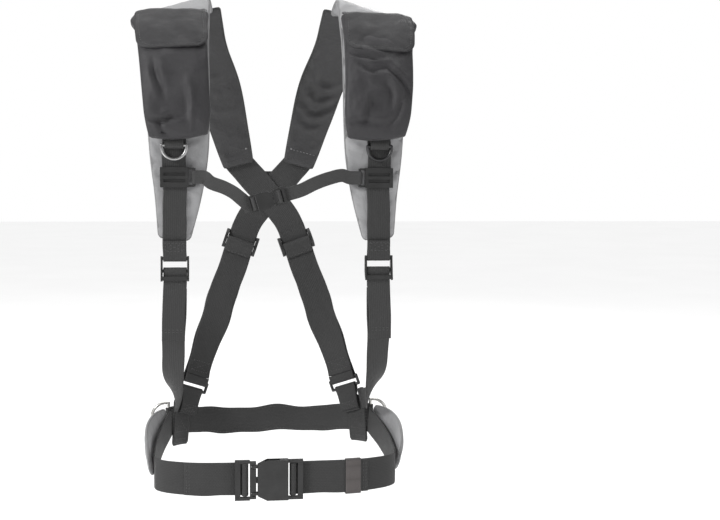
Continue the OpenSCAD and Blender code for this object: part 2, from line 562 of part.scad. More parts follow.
module sternum_strap(side) {
    r = sternum_bar_r + fit + thin_t/2;
    x = side*(strap_x - sternum_bar_x);
    y = sternum_bar_y;
    w = sternum_web_w;
    up = [0, 0, 1];
    slider_end = concat(
        [[x - side*13, y - r + thin_t + 0.4], [x - side*8, y + 0.6], [x - side*3, y + r]],
        [for (i = [0:8]) [x + side*r*sin(22.5*i), y + r*cos(22.5*i)]],
        [[x - side*4, y - r], [x - side*12, y - r - 0.4]]);
    middle = side > 0 ? [[78, -112, -213, 0.4], [62, -114, -216.5, 0.8], [44, -115, -223, 1],
        [28, -115, -230.5, 1]]
        : [[-80, -112, -222, 0.6], [-64, -114, -228, 0.8], [-52, -115, -234.5, 1],
            [-44, -115.4, -241, 1]];
    bar = side > 0 ? -29*sternum_k - bar_r(sternum_k) - slot(thin_t, sternum_k)
        : 20*sternum_k + bar_r(sternum_k) + slot(thin_t, sternum_k);
    turned = buckle_turn(bar, -side, thin_t, sternum_k);
    n = len(turned) - 1;
    tail = [turned[0], turned[0] - [side*8, -0.1, 0]];
    rows = concat(
        [for (p = slider_end) make_row([p[0], p[1], slider_z], w, up)],
        [for (p = middle) make_row([p[0], p[1], p[2]], w, lean_across(p[3]))],
        local_rows(sternum_frame(), [for (i = [n:-1:0]) turned[i]], w, lean_across(1)),
        local_rows(sternum_frame(), [tail[1]], w, lean_across(1)));
    color([0.2, 0.2, 0.2]) band(polyline(rows), thin_t);
}

// ---- pieces ---------------------------------------------------------------------------------

sided(true) shoulder_pad();  // shoulder_pad_left
sided(false) shoulder_pad();  // shoulder_pad_right
sided(true) back_yoke();  // back_yoke_left
sided(false) back_yoke();  // back_yoke_right
sided(true) pouch();  // pouch_left
sided(false) pouch();  // pouch_right
sided(true) pouch_loop_patch();  // pouch_loop_patch_left
sided(false) pouch_loop_patch();  // pouch_loop_patch_right
sided(true) pouch_flap();  // pouch_flap_left
sided(false) pouch_flap();  // pouch_flap_right
sided(true) flap_hook_patch();  // flap_hook_patch_left
sided(false) flap_hook_patch();  // flap_hook_patch_right
sided(true) front_strap();  // front_strap_left
sided(false) front_strap();  // front_strap_right
sided(true) shoulder_ring_keeper();  // shoulder_ring_keeper_left
sided(false) shoulder_ring_keeper();  // shoulder_ring_keeper_right
sided(true) shoulder_ring();  // shoulder_ring_left
sided(false) shoulder_ring();  // shoulder_ring_right
sided(true) strap_adjuster();  // strap_adjuster_left
sided(false) strap_adjuster();  // strap_adjuster_right
sided(true) adjuster_tail();  // adjuster_tail_left
sided(false) adjuster_tail();  // adjuster_tail_right
sided(true) lower_strap();  // lower_strap_left
sided(false) lower_strap();  // lower_strap_right
sided(true) hip_tab();  // hip_tab_left
sided(false) hip_tab();  // hip_tab_right
sided(true) cross_strap(0);  // cross_strap_left
sided(false) cross_strap(cross_lift);  // cross_strap_right
cross_patch();
sided(true) cross_slider(0);  // cross_slider_left
sided(false) cross_slider(cross_lift);  // cross_slider_right
sided(true) cross_return(0);  // cross_return_left
sided(false) cross_return(cross_lift);  // cross_return_right
sided(true) cross_ring(0);  // cross_ring_left
sided(false) cross_ring(cross_lift);  // cross_ring_right
sided(true) ring_tongue(0);  // ring_tongue_left
sided(false) ring_tongue(cross_lift);  // ring_tongue_right
back_belt();
sided(true) side_belt();  // side_belt_left
sided(false) side_belt();  // side_belt_right
sided(true) hip_pad();  // hip_pad_left
sided(false) hip_pad();  // hip_pad_right
sided(true) hip_ring_keeper();  // hip_ring_keeper_left
sided(false) hip_ring_keeper();  // hip_ring_keeper_right
sided(true) hip_ring();  // hip_ring_left
sided(false) hip_ring();  // hip_ring_right
front_belt(1, 3.2);  // front_belt_left
front_belt(-1, 3.1);  // front_belt_right
belt_keeper();
color([0.14, 0.14, 0.14]) at_waist() buckle_socket(belt_web_w, web_t, belt_k);  // waist_socket
color([0.16, 0.16, 0.16]) at_waist() buckle_plug(belt_web_w, web_t, belt_k);  // waist_plug
color([0.16, 0.16, 0.16]) at_waist() buckle_prong(belt_web_w, belt_k);  // waist_prong_upper
color([0.16, 0.16, 0.16]) at_waist() mirror([0, 0, 1]) buckle_prong(belt_web_w, belt_k);  // waist_prong_lower
sided(true) sternum_slider();  // sternum_slider_left
sided(false) sternum_slider();  // sternum_slider_right
sternum_strap(1);  // sternum_strap_left
sternum_strap(-1);  // sternum_strap_right
color([0.14, 0.14, 0.14]) placed(sternum_frame()) buckle_socket(sternum_web_w, thin_t, sternum_k);  // sternum_socket
color([0.16, 0.16, 0.16]) placed(sternum_frame()) buckle_plug(sternum_web_w, thin_t, sternum_k);  // sternum_plug
color([0.16, 0.16, 0.16]) placed(sternum_frame()) {  // sternum_prongs
        buckle_prong(sternum_web_w, sternum_k);
        mirror([0, 0, 1]) buckle_prong(sternum_web_w, sternum_k);
    }
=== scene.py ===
"""Shoulder and waist harness vest: webbing, pads, pouches and finishes around the fixed CAD frame."""
import math

import bpy
import numpy as np
from mathutils import Matrix, Vector, noise


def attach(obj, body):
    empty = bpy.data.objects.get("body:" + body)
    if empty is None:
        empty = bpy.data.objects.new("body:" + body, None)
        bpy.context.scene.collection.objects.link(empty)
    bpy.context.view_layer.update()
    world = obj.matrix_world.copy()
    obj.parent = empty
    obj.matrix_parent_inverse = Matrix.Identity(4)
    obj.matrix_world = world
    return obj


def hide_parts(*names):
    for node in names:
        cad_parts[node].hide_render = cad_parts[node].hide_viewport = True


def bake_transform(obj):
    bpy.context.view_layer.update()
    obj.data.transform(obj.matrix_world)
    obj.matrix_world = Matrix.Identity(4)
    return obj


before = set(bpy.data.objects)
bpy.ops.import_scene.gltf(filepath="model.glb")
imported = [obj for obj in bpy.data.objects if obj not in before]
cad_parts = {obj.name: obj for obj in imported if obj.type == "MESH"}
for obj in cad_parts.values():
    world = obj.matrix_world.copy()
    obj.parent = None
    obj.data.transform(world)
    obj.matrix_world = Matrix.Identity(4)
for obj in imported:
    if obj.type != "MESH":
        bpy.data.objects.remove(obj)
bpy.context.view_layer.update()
MM = 0.001

# ---- sizes and rows of the design, in millimetres ---------------------------------------------
# A row is a place x, y, z, a width, and the direction across the band. Left rows; right mirrors X.

FRONT_W, CROSS_W, BELT_W, STERNUM_W = 28.0, 38.0, 40.0, 16.0
WEB_T, THIN_T, BELT_T = 1.8, 1.2, 2.6
PAD_T, YOKE_T, HIP_T = 8.0, 6.0, 8.0
FIT, SEAM = 0.35, 0.3
LAYER = WEB_T + SEAM
TURN = 2.0 + FIT + WEB_T / 2
STRAP_X, STRAP_Y = 123.0, -106.0
WAIST_Z, BELT_Y = -582.0, -124.0
BELT_K, BELT_MIDDLE = 0.95, -7.0
STERNUM_AT = np.array([-15.7, -118.0, -243.5])
STERNUM_LEAN, STERNUM_K = math.radians(16), 0.5
RING_BAR = np.array([STRAP_X, STRAP_Y - LAYER - TURN, -178.0])
ADJUSTER_BAR = np.array([STRAP_X, STRAP_Y - TURN, -313.0])
POUCH_FROM, POUCH_TO = 3.9, 8.42

SHOULDER = [
    [110, 24, -18, 70, 0.98, 0, -0.2], [114, 9, -10.5, 73, 0.98, 0, -0.2],
    [117, -7, -9, 76, 0.98, 0, -0.2], [119, -24, -15, 78, 0.98, 0, -0.17],
    [121, -42, -30, 80, 0.99, 0, -0.12], [122, -58, -50, 80, 1, 0, -0.06],
    [121.5, -73, -76, 79, 1, 0, 0], [120, -86, -108, 77, 1, 0, 0],
    [118, -94, -150, 73, 1, 0, 0], [117.5, -98, -195, 67, 1, 0, 0],
    [119, -98.5, -240, 54, 1, 0, 0], [124, -98.5, -291, 37, 1, 0, 0]]
YOKE = [
    [109.5, 26, -20, 72, -0.98, 0, 0.2], [101, 46, -36, 71, -1, 0, 0.12],
    [87, 68, -58, 66, -1, 0, 0], [71, 89, -94, 59, -1, 0, 0],
    [58, 103.6, -140, 53, -1, 0, 0], [48, 112.6, -178, 48, -1, 0, 0],
    [41, 116.8, -204, 41, -1, 0, 0]]
CROSS_TOP = [[-52, 117.8, -180], [-43, 121.3, -197], [-31, 122.3, -211], [-15, 122.5, -229],
             [0, 122.5, -246], [14, 122.4, -263], [25, 122.2, -278], [32, 122, -292]]
CROSS_TOP_ACROSS = [0.946, 0, 0.324]
CROSS_END = np.array([104.0, 94, -499])
CROSS_TWIST = (112.0, 194.0, math.radians(35))
RING_HEIGHT = 12.0
BACK = [
    [133.5, 63, -550, 36, 0, 0, 1], [119, 88, -553, 36, 0, 0, 1], [92, 108, -557, 36, 0, 0, 1],
    [50, 119, -560, 36, 0, 0, 1], [0, 123, -561, 36, 0, 0, 1], [-50, 119, -560, 36, 0, 0, 1],
    [-92, 108, -557, 36, 0, 0, 1], [-119, 88, -553, 36, 0, 0, 1], [-133.5, 63, -550, 36, 0, 0, 1]]
SIDE = [
    [151, -68.5, -579, 40, 0, 0, 1], [149, -35, -570, 39, 0, 0, 1],
    [143, 10, -559, 37, 0, 0, 1], [134.5, 58, -550.5, 36, 0, 0, 1]]
BELT = [
    [150.5, -73.2, -582, 40, 0, 0, 1], [147, -86, -582, 40, 0, 0, 1], [135, -99, -582, 40, 0, 0, 1],
    [115, -108.5, -582, 40, 0, 0, 1], [92, -114.5, -582, 40, 0, 0, 1], [66, -117.4, -582, 40, 0, 0, 1]]
LOWER = [
    [123, -106, -349.4, 28, 1, 0, 0], [124, -101, -385, 28, 1, 0, 0.05],
    [126.5, -88, -424, 28, 0.95, 0, 0.2], [127, -58, -468, 28, 0.8, 0.1, 0.45],
    [126.5, -10, -502, 28, 0.3, 0.2, 0.8], [127, 36, -516, 28, -0.1, 0.25, 0.9]]


# ---- curves -----------------------------------------------------------------------------------

def unit(v):
    v = np.asarray(v, float)
    return v / np.maximum(np.linalg.norm(v, axis=-1, keepdims=True), 1e-12)


def catmull(rows, t):
    """Whole rows at parameters t, as the design interpolates them."""
    rows = np.asarray(rows, float)
    n = len(rows) - 1
    t = np.atleast_1d(np.asarray(t, float))
    i = np.clip(np.floor(t).astype(int), 0, n - 1)
    u = (t - i)[:, None]
    a, b, c, d = rows[np.clip(i - 1, 0, n)], rows[i], rows[i + 1], rows[np.clip(i + 2, 0, n)]
    return 0.5 * (2 * b + (c - a) * u + (2 * a - 5 * b + 4 * c - d) * u**2 + (3 * b - a - 3 * c + d) * u**3)


def smoothed(rows, step=1.6):
    """Rows of a polyline, rounded by a centripetal spline and evenly spaced."""
    r = np.asarray(rows, float)
    p = np.vstack([2 * r[0] - r[1], r, 2 * r[-1] - r[-2]])
    k = np.r_[0, np.cumsum(np.maximum(np.linalg.norm(np.diff(p[:, :3], axis=0), axis=1), 1e-6) ** 0.5)]
    out = []
    for i in range(1, len(p) - 2):
        t = np.linspace(k[i], k[i + 1], 14, endpoint=i == len(p) - 3)[:, None]
        def between(x, y, i0, i1):
            return ((k[i1] - t) * x + (t - k[i0]) * y) / (k[i1] - k[i0])
        a1, a2, a3 = (between(p[j], p[j + 1], j, j + 1) for j in (i - 1, i, i + 1))
        b1, b2 = between(a1, a2, i - 1, i + 1), between(a2, a3, i, i + 2)
        out.append(between(b1, b2, i, i + 1))
    out = np.vstack(out)
    length = np.r_[0, np.cumsum(np.linalg.norm(np.diff(out[:, :3], axis=0), axis=1))]
    places = np.linspace(0, length[-1], max(3, int(length[-1] / step) + 1))
    return np.column_stack([np.interp(places, length, out[:, c]) for c in range(out.shape[1])])


class Band:
    """A strip through space: places P, directions along T, across S and outward O, widths W, lengths L."""

    def __init__(self, rows, off=0.0):
        r = np.asarray(rows, float)
        self.T = unit(np.gradient(r[:, :3], axis=0))
        self.S = unit(r[:, 4:] - (r[:, 4:] * self.T).sum(1, keepdims=True) * self.T)
        self.O = np.cross(self.T, self.S)
        self.P = r[:, :3] + off * self.O
        self.W = r[:, 3].copy()
        self.L = np.r_[0, np.cumsum(np.linalg.norm(np.diff(self.P, axis=0), axis=1))]
        self.length = self.L[-1]
        self.round_start = self.round_end = 0.0
        self.loose = 1.0

    def pick(self, a, l):
        l = np.asarray(l, float)
        if a.ndim == 1:
            return np.interp(l, self.L, a)
        return np.stack([np.interp(l, self.L, a[:, c]) for c in range(3)], -1)

    def half(self, l):
        """Half the width at a length, with the rounded corners of both ends."""
        l = np.asarray(l, float)
        w = self.pick(self.W, l) / 2
        for r, d in ((self.round_start, l), (self.round_end, self.length - l)):
            if r > 0:
                q = np.clip(r - d, 0, r)
                w = w - (r - np.sqrt(np.maximum(r * r - q * q, 0)))
        return w

    def at(self, u, l, h=0.0):
        return self.pick(self.P, l) + self.pick(self.S, l) * np.asarray(u)[..., None] \
            + self.pick(self.O, l) * np.asarray(h)[..., None]


def sweep(rows, first, last, step=3.0, off=0.0, width=None):
    n = max(4, int(abs(last - first) * 40))
    r = catmull(rows, np.linspace(first, last, n))
    if width:
        r[:, 3] = width
    length = np.r_[0, np.cumsum(np.linalg.norm(np.diff(r[:, :3], axis=0), axis=1))]
    places = np.linspace(0, length[-1], max(3, int(length[-1] / step) + 1))
    return Band(np.column_stack([np.interp(places, length, r[:, c]) for c in range(7)]), off)


def station(rows, t, off=0.0):
    """Place, direction along, across, outward and width of a row curve at t."""
    r = catmull(rows, [max(t - 0.02, 0), t, min(t + 0.02, len(rows) - 1)])
    d = unit(r[2, :3] - r[0, :3])
    s = unit(r[1, 4:] - (r[1, 4:] @ d) * d)
    o = np.cross(d, s)
    return r[1, :3] + off * o, d, s, o, r[1, 3]


def rows_in(f, points, width, a):
    """Rows through local points of a frame [origin, x, y, z]."""
    return [[*(f[0] + p[0] * f[1] + p[1] * f[2] + p[2] * f[3]), width, *a] for p in points]


def fold(r, k=8):
    return [[0, r * math.cos(math.pi * i / k), r * math.sin(math.pi * i / k)] for i in range(k + 1)]


def wander(p):
    """A slow unevenness shared by everything at one place, so that layers stay apart."""
    return 0.55 * np.sin(p[..., 0] * 0.061 + p[..., 2] * 0.043 + 1.3) + 0.45 * np.sin(
        p[..., 2] * 0.097 - p[..., 1] * 0.052 + p[..., 0] * 0.021)


def ripple(p, scale, seed):
    """Cloth noise from -1 to 1 at places in millimetres, one scale per axis."""
    s = np.asarray(scale, float)
    return np.array([noise.fractal(Vector((q / s) + seed * 7.31), 1.0, 2.1, 3) for q in p.reshape(-1, 3)]
                    ).reshape(p.shape[:-1])


# ---- mesh building ----------------------------------------------------------------------------

class Shape:
    """Vertices in millimetres, faces, material numbers and a weave map in millimetres."""

    def __init__(self):
        self.v, self.f, self.m, self.uv, self.n = [], [], [], [], 0

    def add(self, verts, faces, material=0, uv=None):
        verts = np.asarray(verts, float).reshape(-1, 3)
        self.v.append(verts)
        self.uv.append(np.zeros((len(verts), 2)) if uv is None else np.asarray(uv, float).reshape(-1, 2))
        self.f += [tuple(int(i) + self.n for i in f) for f in faces]
        self.m += [material] * len(faces)
        self.n += len(verts)

    def tube(self, rings, material=0, uv=None, closed=False, caps=True):
        """rings is (n, m, 3): faces between following rings, each of them closed."""
        n, m = rings.shape[:2]
        faces = []
        for i in range(n if closed else n - 1):
            a, b = i * m, ((i + 1) % n) * m
            for j in range(m):
                k = (j + 1) % m
                faces.append((a + j, a + k, b + k, b + j))
        if caps and not closed:
            half = m // 2
            for base, flip in ((0, True), ((n - 1) * m, False)):
                for j in range(half - 1):
                    q = (base + j, base + j + 1, base + m - 2 - j, base + m - 1 - j)
                    faces.append(tuple(reversed(q)) if flip else q)
        self.add(rings, faces, material, uv)

    def make(self, name, materials, mirror=False):
        v = np.vstack(self.v) * MM
        faces = self.f
        if mirror:
            v[:, 0] *= -1
            faces = [tuple(reversed(f)) for f in faces]
        mesh = bpy.data.meshes.new(name)
        mesh.from_pydata(v.tolist(), [], faces)
        layer = mesh.uv_layers.new(name="weave")
        uv = np.vstack(self.uv)
        loops = np.zeros(len(mesh.loops), int)
        mesh.loops.foreach_get("vertex_index", loops)
        layer.data.foreach_set("uv", uv[loops].astype(np.float32).ravel())
        for m in materials:
            mesh.materials.append(m)
        mesh.polygons.foreach_set("material_index", self.m)
        mesh.polygons.foreach_set("use_smooth", [True] * len(faces))
        mesh.validate()
        mesh.update()
        o = bpy.data.objects.new(name, mesh)
        bpy.context.scene.collection.objects.link(o)
        return o


STITCH = [(-0.5, 0.25), (-0.36, 0.85), (0, 1.0), (0.36, 0.85), (0.5, 0.25)]     # place along, fatness
STITCH_SIDES = 6


def stitches(shape, band, line, height, side=1, length=2.7, gap=1.5, r=0.36, material=1):
    """A row of raised thread stitches along a line of (across, along) places on a band."""
    line = np.asarray(line, float)
    seg = np.r_[0, np.cumsum(np.linalg.norm(np.diff(line, axis=0), axis=1))]
    count = max(1, int(seg[-1] / (length + gap)))
    s = (np.arange(count) + 0.5) * seg[-1] / count
    def place(x):
        u, l = np.interp(x, seg, line[:, 0]), np.interp(x, seg, line[:, 1])
        return band.at(u, l, (height if np.isscalar(height) else height(u, l)) * side)
    mid, a, b = (place(np.clip(s + q, 0, seg[-1])) for q in (0, -length / 2, length / 2))
    along = unit(b - a)
    out = band.pick(band.O, np.interp(s, seg, line[:, 1])) * side
    across = unit(np.cross(out, along))
    out = np.cross(along, across)
    verts, faces, m = [], [], STITCH_SIDES
    last = (len(STITCH) - 1) * m
    for k in range(count):
        base = k * len(STITCH) * m
        for x, fat in STITCH:
            for j in range(m):
                g = 2 * math.pi * j / m
                verts.append(mid[k] + along[k] * x * length + across[k] * fat * r * math.cos(g)
                             + out[k] * fat * r * 0.8 * math.sin(g))
        for i in range(base, base + last, m):
            faces += [(i + j, i + (j + 1) % m, i + m + (j + 1) % m, i + m + j) for j in range(m)]
        faces += [tuple(base + j for j in range(m - 1, -1, -1)), tuple(base + last + j for j in range(m))]
    shape.add(verts, faces, material)


def box_x(l0, l1, half, cross=True):
    """The lines of a sewn box, with its X."""
    lines = [[(-half, l0), (half, l0), (half, l1), (-half, l1), (-half, l0)]]
    if cross:
        lines += [[(-half, l0), (half, l1)], [(half, l0), (-half, l1)]]
    return lines


def lines_across(half, *places):
    """Stitch lines straight across webbing at places along it."""
    return [[(-half, l), (half, l)] for l in places]


WEB_U = np.array([-1, -0.985, -0.95, -0.88, -0.74, -0.5, -0.25, 0, 0.25, 0.5, 0.74, 0.88, 0.95, 0.985, 1])
WEB_H = np.array([0.35, 0.72, 0.95, 1.0, 0.9, 0.93, 0.96, 0.97, 0.96, 0.93, 0.9, 1.0, 0.95, 0.72, 0.35])


def webbing(band, thick, sewn=(), sides=(1, -1), amount=0.3, shape=None, length=2.7):
    """Woven webbing along a band: thicker selvedges, a slow unevenness and its sewn lines."""
    shape = shape or Shape()
    half = band.half(band.L) * (1 + 0.012 * np.sin(band.L / 17.0 + band.P[:, 0] * 0.1))
    places = band.P + unevenness(band, amount)
    order = np.r_[0:len(WEB_U), len(WEB_U) - 1:-1:-1]               # under face, then back over the top
    rise = thick / 2 * WEB_H[order] * np.repeat([-1, 1], len(WEB_U))
    u = WEB_U[order]
    rings = places[:, None] + band.S[:, None] * (half[:, None] * u)[..., None] \
        + band.O[:, None] * rise[None, :, None]
    uv = np.stack([half[:, None] * u, np.repeat(band.L[:, None], len(u), 1)], -1)
    shape.tube(rings, 0, uv)
    for line in sewn:
        for side in sides:
            stitches(shape, Lifted(band, amount), line, thick / 2 * 0.95, side, length=length)
    return shape


def sway(band):
    """Sideways unevenness, nothing at the two sewn ends."""
    ease = np.clip(np.minimum(band.L - 14, band.length - 14 - band.L) / 30, 0, 1)
    x, z = band.P[:, 0], band.P[:, 2]
    return band.loose * ease * (0.7 * np.sin(z / 15.5 + 0.8) + 0.5 * np.sin(z / 8.3 + x / 19))


def unevenness(band, amount):
    """How far webbing strays from its band: off the surface and, 2.6 times as much, sideways."""
    return amount * (wander(band.P)[:, None] * band.O + 2.6 * sway(band)[:, None] * band.S)


class Lifted(Band):
    """The same band, with the slow unevenness that its webbing has."""

    def __init__(self, band, amount):
        self.__dict__.update(band.__dict__)
        self.P = band.P + unevenness(band, amount)


# ---- materials --------------------------------------------------------------------------------

class Nodes:
    """A material being built: short names for the nodes that the finishes use."""

    def __init__(self, name):
        self.mat = bpy.data.materials.new(name)
        self.mat.use_nodes = True
        self.tree = self.mat.node_tree
        self.tree.nodes.clear()
        self.out = self.tree.nodes.new("ShaderNodeOutputMaterial")
        self.shader = self.tree.nodes.new("ShaderNodeBsdfPrincipled")
        self.tree.links.new(self.shader.outputs[0], self.out.inputs[0])

    def put(self, socket, value):
        if isinstance(value, bpy.types.NodeSocket):
            self.tree.links.new(value, socket)
        else:
            socket.default_value = value

    def node(self, kind, out=0, inputs=(), **props):
        n = self.tree.nodes.new("ShaderNode" + kind)
        for k, v in props.items():
            setattr(n, k, v)
        for k, v in dict(inputs).items():
            self.put(n.inputs[k], v)
        return n.outputs[out]

    def math(self, op, a, b=0.0, c=0.0):
        n = self.tree.nodes.new("ShaderNodeMath")
        n.operation = op
        for s, v in zip(n.inputs, (a, b, c)):
            self.put(s, v)
        return n.outputs[0]

    def mix(self, f, a, b):
        n = self.tree.nodes.new("ShaderNodeMix")
        n.data_type = "RGBA"
        for s, v in zip((n.inputs[0], n.inputs[6], n.inputs[7]), (f, a, b)):
            self.put(s, v)
        return n.outputs[2]

    def noise(self, scale, detail=3.0):
        v = self.node("TexCoord", "Object")
        return self.node("TexNoise", 0, {"Vector": v, "Scale": scale, "Detail": detail, "Roughness": 0.5})

    def ramp(self, f, lo, hi, a=0.0, b=1.0):
        n = self.tree.nodes.new("ShaderNodeMapRange")
        for s, v in zip(n.inputs, (f, lo, hi, a, b)):
            self.put(s, v)
        return n.outputs[0]

    def bump(self, height, distance, strength=1.0, normal=None):
        n = {"Height": height, "Distance": distance, "Strength": strength}
        if normal is not None:
            n["Normal"] = normal
        return self.node("Bump", 0, n)

    def weave_uv(self):
        uv = self.node("UVMap", 0, uv_map="weave")
        sep = self.tree.nodes.new("ShaderNodeSeparateXYZ")
        self.put(sep.inputs[0], uv)
        return sep.outputs[0], sep.outputs[1]

    def weave(self, rib, cord):
        """Plain weave from the millimetre map: ribs across at one pitch, broken into cords."""
        u, v = self.weave_uv()
        column = self.math("FLOOR", self.math("DIVIDE", u, cord))
        shift = self.math("MULTIPLY", column, math.pi)
        phase = self.math("ADD", self.math("MULTIPLY", v, 2 * math.pi / rib), shift)
        ribs = self.math("ABSOLUTE", self.math("SINE", self.math("MULTIPLY", phase, 0.5)))
        cords = self.math("ABSOLUTE", self.math("SINE", self.math("MULTIPLY", u, math.pi / cord)))
        return self.math("MULTIPLY", ribs, self.math("POWER", cords, 0.6))

    def finish(self, colour, rough, normal, **fixed):
        self.put(self.shader.inputs["Base Color"], colour)
        self.put(self.shader.inputs["Roughness"], rough)
        self.put(self.shader.inputs["Normal"], normal)
        for k, v in fixed.items():
            self.shader.inputs[k.replace("_", " ")].default_value = v
        return self.mat


def grey(v, tint=(1, 1, 1)):
    """A colour from an 8-bit display value."""
    x = v / 255
    x = x / 12.92 if x <= 0.04045 else ((x + 0.055) / 1.055) ** 2.4
    return (x * tint[0], x * tint[1], x * tint[2], 1)


def webbing_material(name, value, rib=1.5, cord=2.3, tint=(1, 1, 1), sheen=0.05, rough=0.62):
    """Woven tape: rib and cord are the pitches of its weave in millimetres."""
    k = Nodes(name)
    w = k.weave(rib, cord)
    fuzz = k.noise(900, 2)
    cloud = k.ramp(k.noise(14, 3), 0.3, 0.7)
    base = k.mix(k.ramp(w, 0.1, 0.9), grey(value * 0.74, tint), grey(value * 1.1, tint))
    worn = k.mix(k.math("MULTIPLY", cloud, 0.35), base, grey(value * 1.32, tint))
    colour = k.mix(k.math("MULTIPLY", fuzz, 0.16), worn, grey(value * 1.6, tint))
    height = k.math("ADD", w, k.math("MULTIPLY", fuzz, 0.25))
    return k.finish(colour, k.ramp(cloud, 0, 1, rough - 0.06, rough + 0.1), k.bump(height, 0.00028, 0.9),
                    Sheen_Weight=sheen, Sheen_Roughness=0.45, Specular_IOR_Level=0.32)


def cloth_material(name, value, tint, pitch, rough, crease, spread, specular):
    """Coated cloth: crease is the relief of its small folds in metres, spread how cloudy its tone is."""
    k = Nodes(name)
    w = k.weave(pitch, pitch)
    folds = k.noise(38, 4)
    small = k.noise(130, 3)
    cloud = k.ramp(k.noise(9, 3), 0.3, 0.7)
    base = k.mix(k.ramp(w, 0, 1), grey(value * 0.86, tint), grey(value * 1.06, tint))
    colour = k.mix(k.math("MULTIPLY", cloud, spread), base, grey(min(250, value * 1.28), tint))
    colour = k.mix(k.ramp(small, 0.62, 0.8, 0.0, 0.18), colour, grey(value * 0.7, tint))
    normal = k.bump(folds, crease * 4, 0.5)
    normal = k.bump(small, crease, 0.45, normal)
    normal = k.bump(w, 0.00012, 0.7, normal)
    return k.finish(colour, k.ramp(folds, 0.3, 0.7, rough - 0.08, rough + 0.1), normal,
                    Sheen_Weight=0.05, Sheen_Roughness=0.4, Specular_IOR_Level=specular)


def pile_material(name, value, scale):
    k = Nodes(name)
    p = k.node("TexVoronoi", 0, {"Vector": k.node("TexCoord", "Object"), "Scale": scale})
    fuzz = k.noise(scale * 1.7, 4)
    colour = k.mix(k.ramp(p, 0, 0.7), grey(value * 1.5), grey(value * 0.7))
    return k.finish(colour, 0.9, k.bump(k.math("ADD", k.math("SUBTRACT", 1.0, p), fuzz), 0.0007, 1.0),
                    Sheen_Weight=0.2, Sheen_Roughness=0.5, Specular_IOR_Level=0.2)


def thread_material(name, value):
    k = Nodes(name)
    twist = k.node("TexWave", 0, {"Vector": k.node("TexCoord", "Object"), "Scale": 420.0, "Distortion": 1.5},
                   bands_direction="DIAGONAL")
    colour = k.mix(twist, grey(value * 0.8), grey(value * 1.15))
    return k.finish(colour, k.ramp(k.noise(200), 0.3, 0.7, 0.45, 0.65), k.bump(twist, 0.0002, 0.7),
                    Sheen_Weight=0.2)


def plastic_material(name, value, rough=0.42):
    k = Nodes(name)
    grain = k.noise(1500, 2)
    flow = k.noise(60, 4)
    rubs = k.node("TexNoise", 0, {"Vector": k.node("Mapping", 0, {
        "Vector": k.node("TexCoord", "Object"), "Scale": (1, 1, 9)}), "Scale": 220.0, "Detail": 5.0})
    colour = k.mix(k.ramp(flow, 0.3, 0.7), grey(value * 0.86), grey(value * 1.14))
    colour = k.mix(k.ramp(rubs, 0.66, 0.78, 0, 0.35), colour, grey(value * 1.9))
    normal = k.bump(grain, 0.00009, 0.8, k.bump(flow, 0.0003, 0.25))
    return k.finish(colour, k.ramp(rubs, 0.35, 0.75, rough - 0.1, rough + 0.12), normal,
                    Specular_IOR_Level=0.5)


def steel_material(name, value, rough, tint=(1, 1, 1), metallic=1.0):
    k = Nodes(name)
    scratch = k.node("TexNoise", 0, {"Vector": k.node("Mapping", 0, {
        "Vector": k.node("TexCoord", "Object"), "Scale": (1, 14, 1)}), "Scale": 330.0, "Detail": 5.0})
    tarnish = k.ramp(k.noise(90, 4), 0.35, 0.7)
    colour = k.mix(tarnish, grey(value, tint), grey(value * 0.8, tint))
    normal = k.bump(scratch, 0.00006, 0.5, k.bump(k.noise(120, 3), 0.0002, 0.2))
    return k.finish(colour, k.ramp(scratch, 0.35, 0.7, rough - 0.06, rough + 0.14), normal, Metallic=metallic)


WEB = webbing_material("webbing_black", 54)
WEB_FINE = webbing_material("webbing_fine", 60, 1.1, 1.7)
BACKING = webbing_material("webbing_belt", 54, 1.8, 2.0)
ELASTIC = webbing_material("elastic", 80, 1.0, 1.3, (1.08, 0.98, 0.96), 0.08, 0.7)
BINDING_DARK = webbing_material("binding_dark", 60, 0.9, 1.1)
PAD = cloth_material("pad_cloth_grey", 146, (0.99, 0.99, 1.01), 0.8, 0.5, 0.0012, 0.7, 0.5)
BINDING_GREY = webbing_material("binding_grey", 132, 0.9, 1.1, (1, 1, 1.01))
YOKE_CLOTH = cloth_material("yoke_cloth_black", 43, (1, 0.98, 1.03), 0.7, 0.38, 0.001, 0.3, 0.6)
POUCH_CLOTH = cloth_material("pouch_cloth", 54, (1.01, 0.98, 1.05), 0.9, 0.55, 0.0007, 0.25, 0.35)
FLAP_CLOTH = cloth_material("flap_cloth", 47, (1.0, 0.98, 1.04), 0.9, 0.58, 0.0006, 0.2, 0.35)
HOOK = pile_material("hook_patch", 42, 900)
LOOP = pile_material("loop_patch", 52, 650)
THREAD_DARK = thread_material("thread_dark", 66)
THREAD_GREY = thread_material("thread_grey", 128)
THREAD_PALE = thread_material("thread_pale", 150)
PLASTIC = plastic_material("moulded_black", 40)
DARK_STEEL = steel_material("dark_steel", 84, 0.36, (1, 1, 1.02), 0.9)
# Pale steel for the right shoulder ring only: painted highlight, a brighter look of the same steel as the
# left ring.
PALE_STEEL_PAINTED_HIGHLIGHT = steel_material("pale_steel_painted_highlight", 190, 0.3)
BRIGHT_STEEL = steel_material("bright_steel", 222, 0.24, (1, 0.99, 0.95))
BELT_MATERIALS = [BACKING, THREAD_DARK]


# ---- camera, light and floor ------------------------------------------------------------------

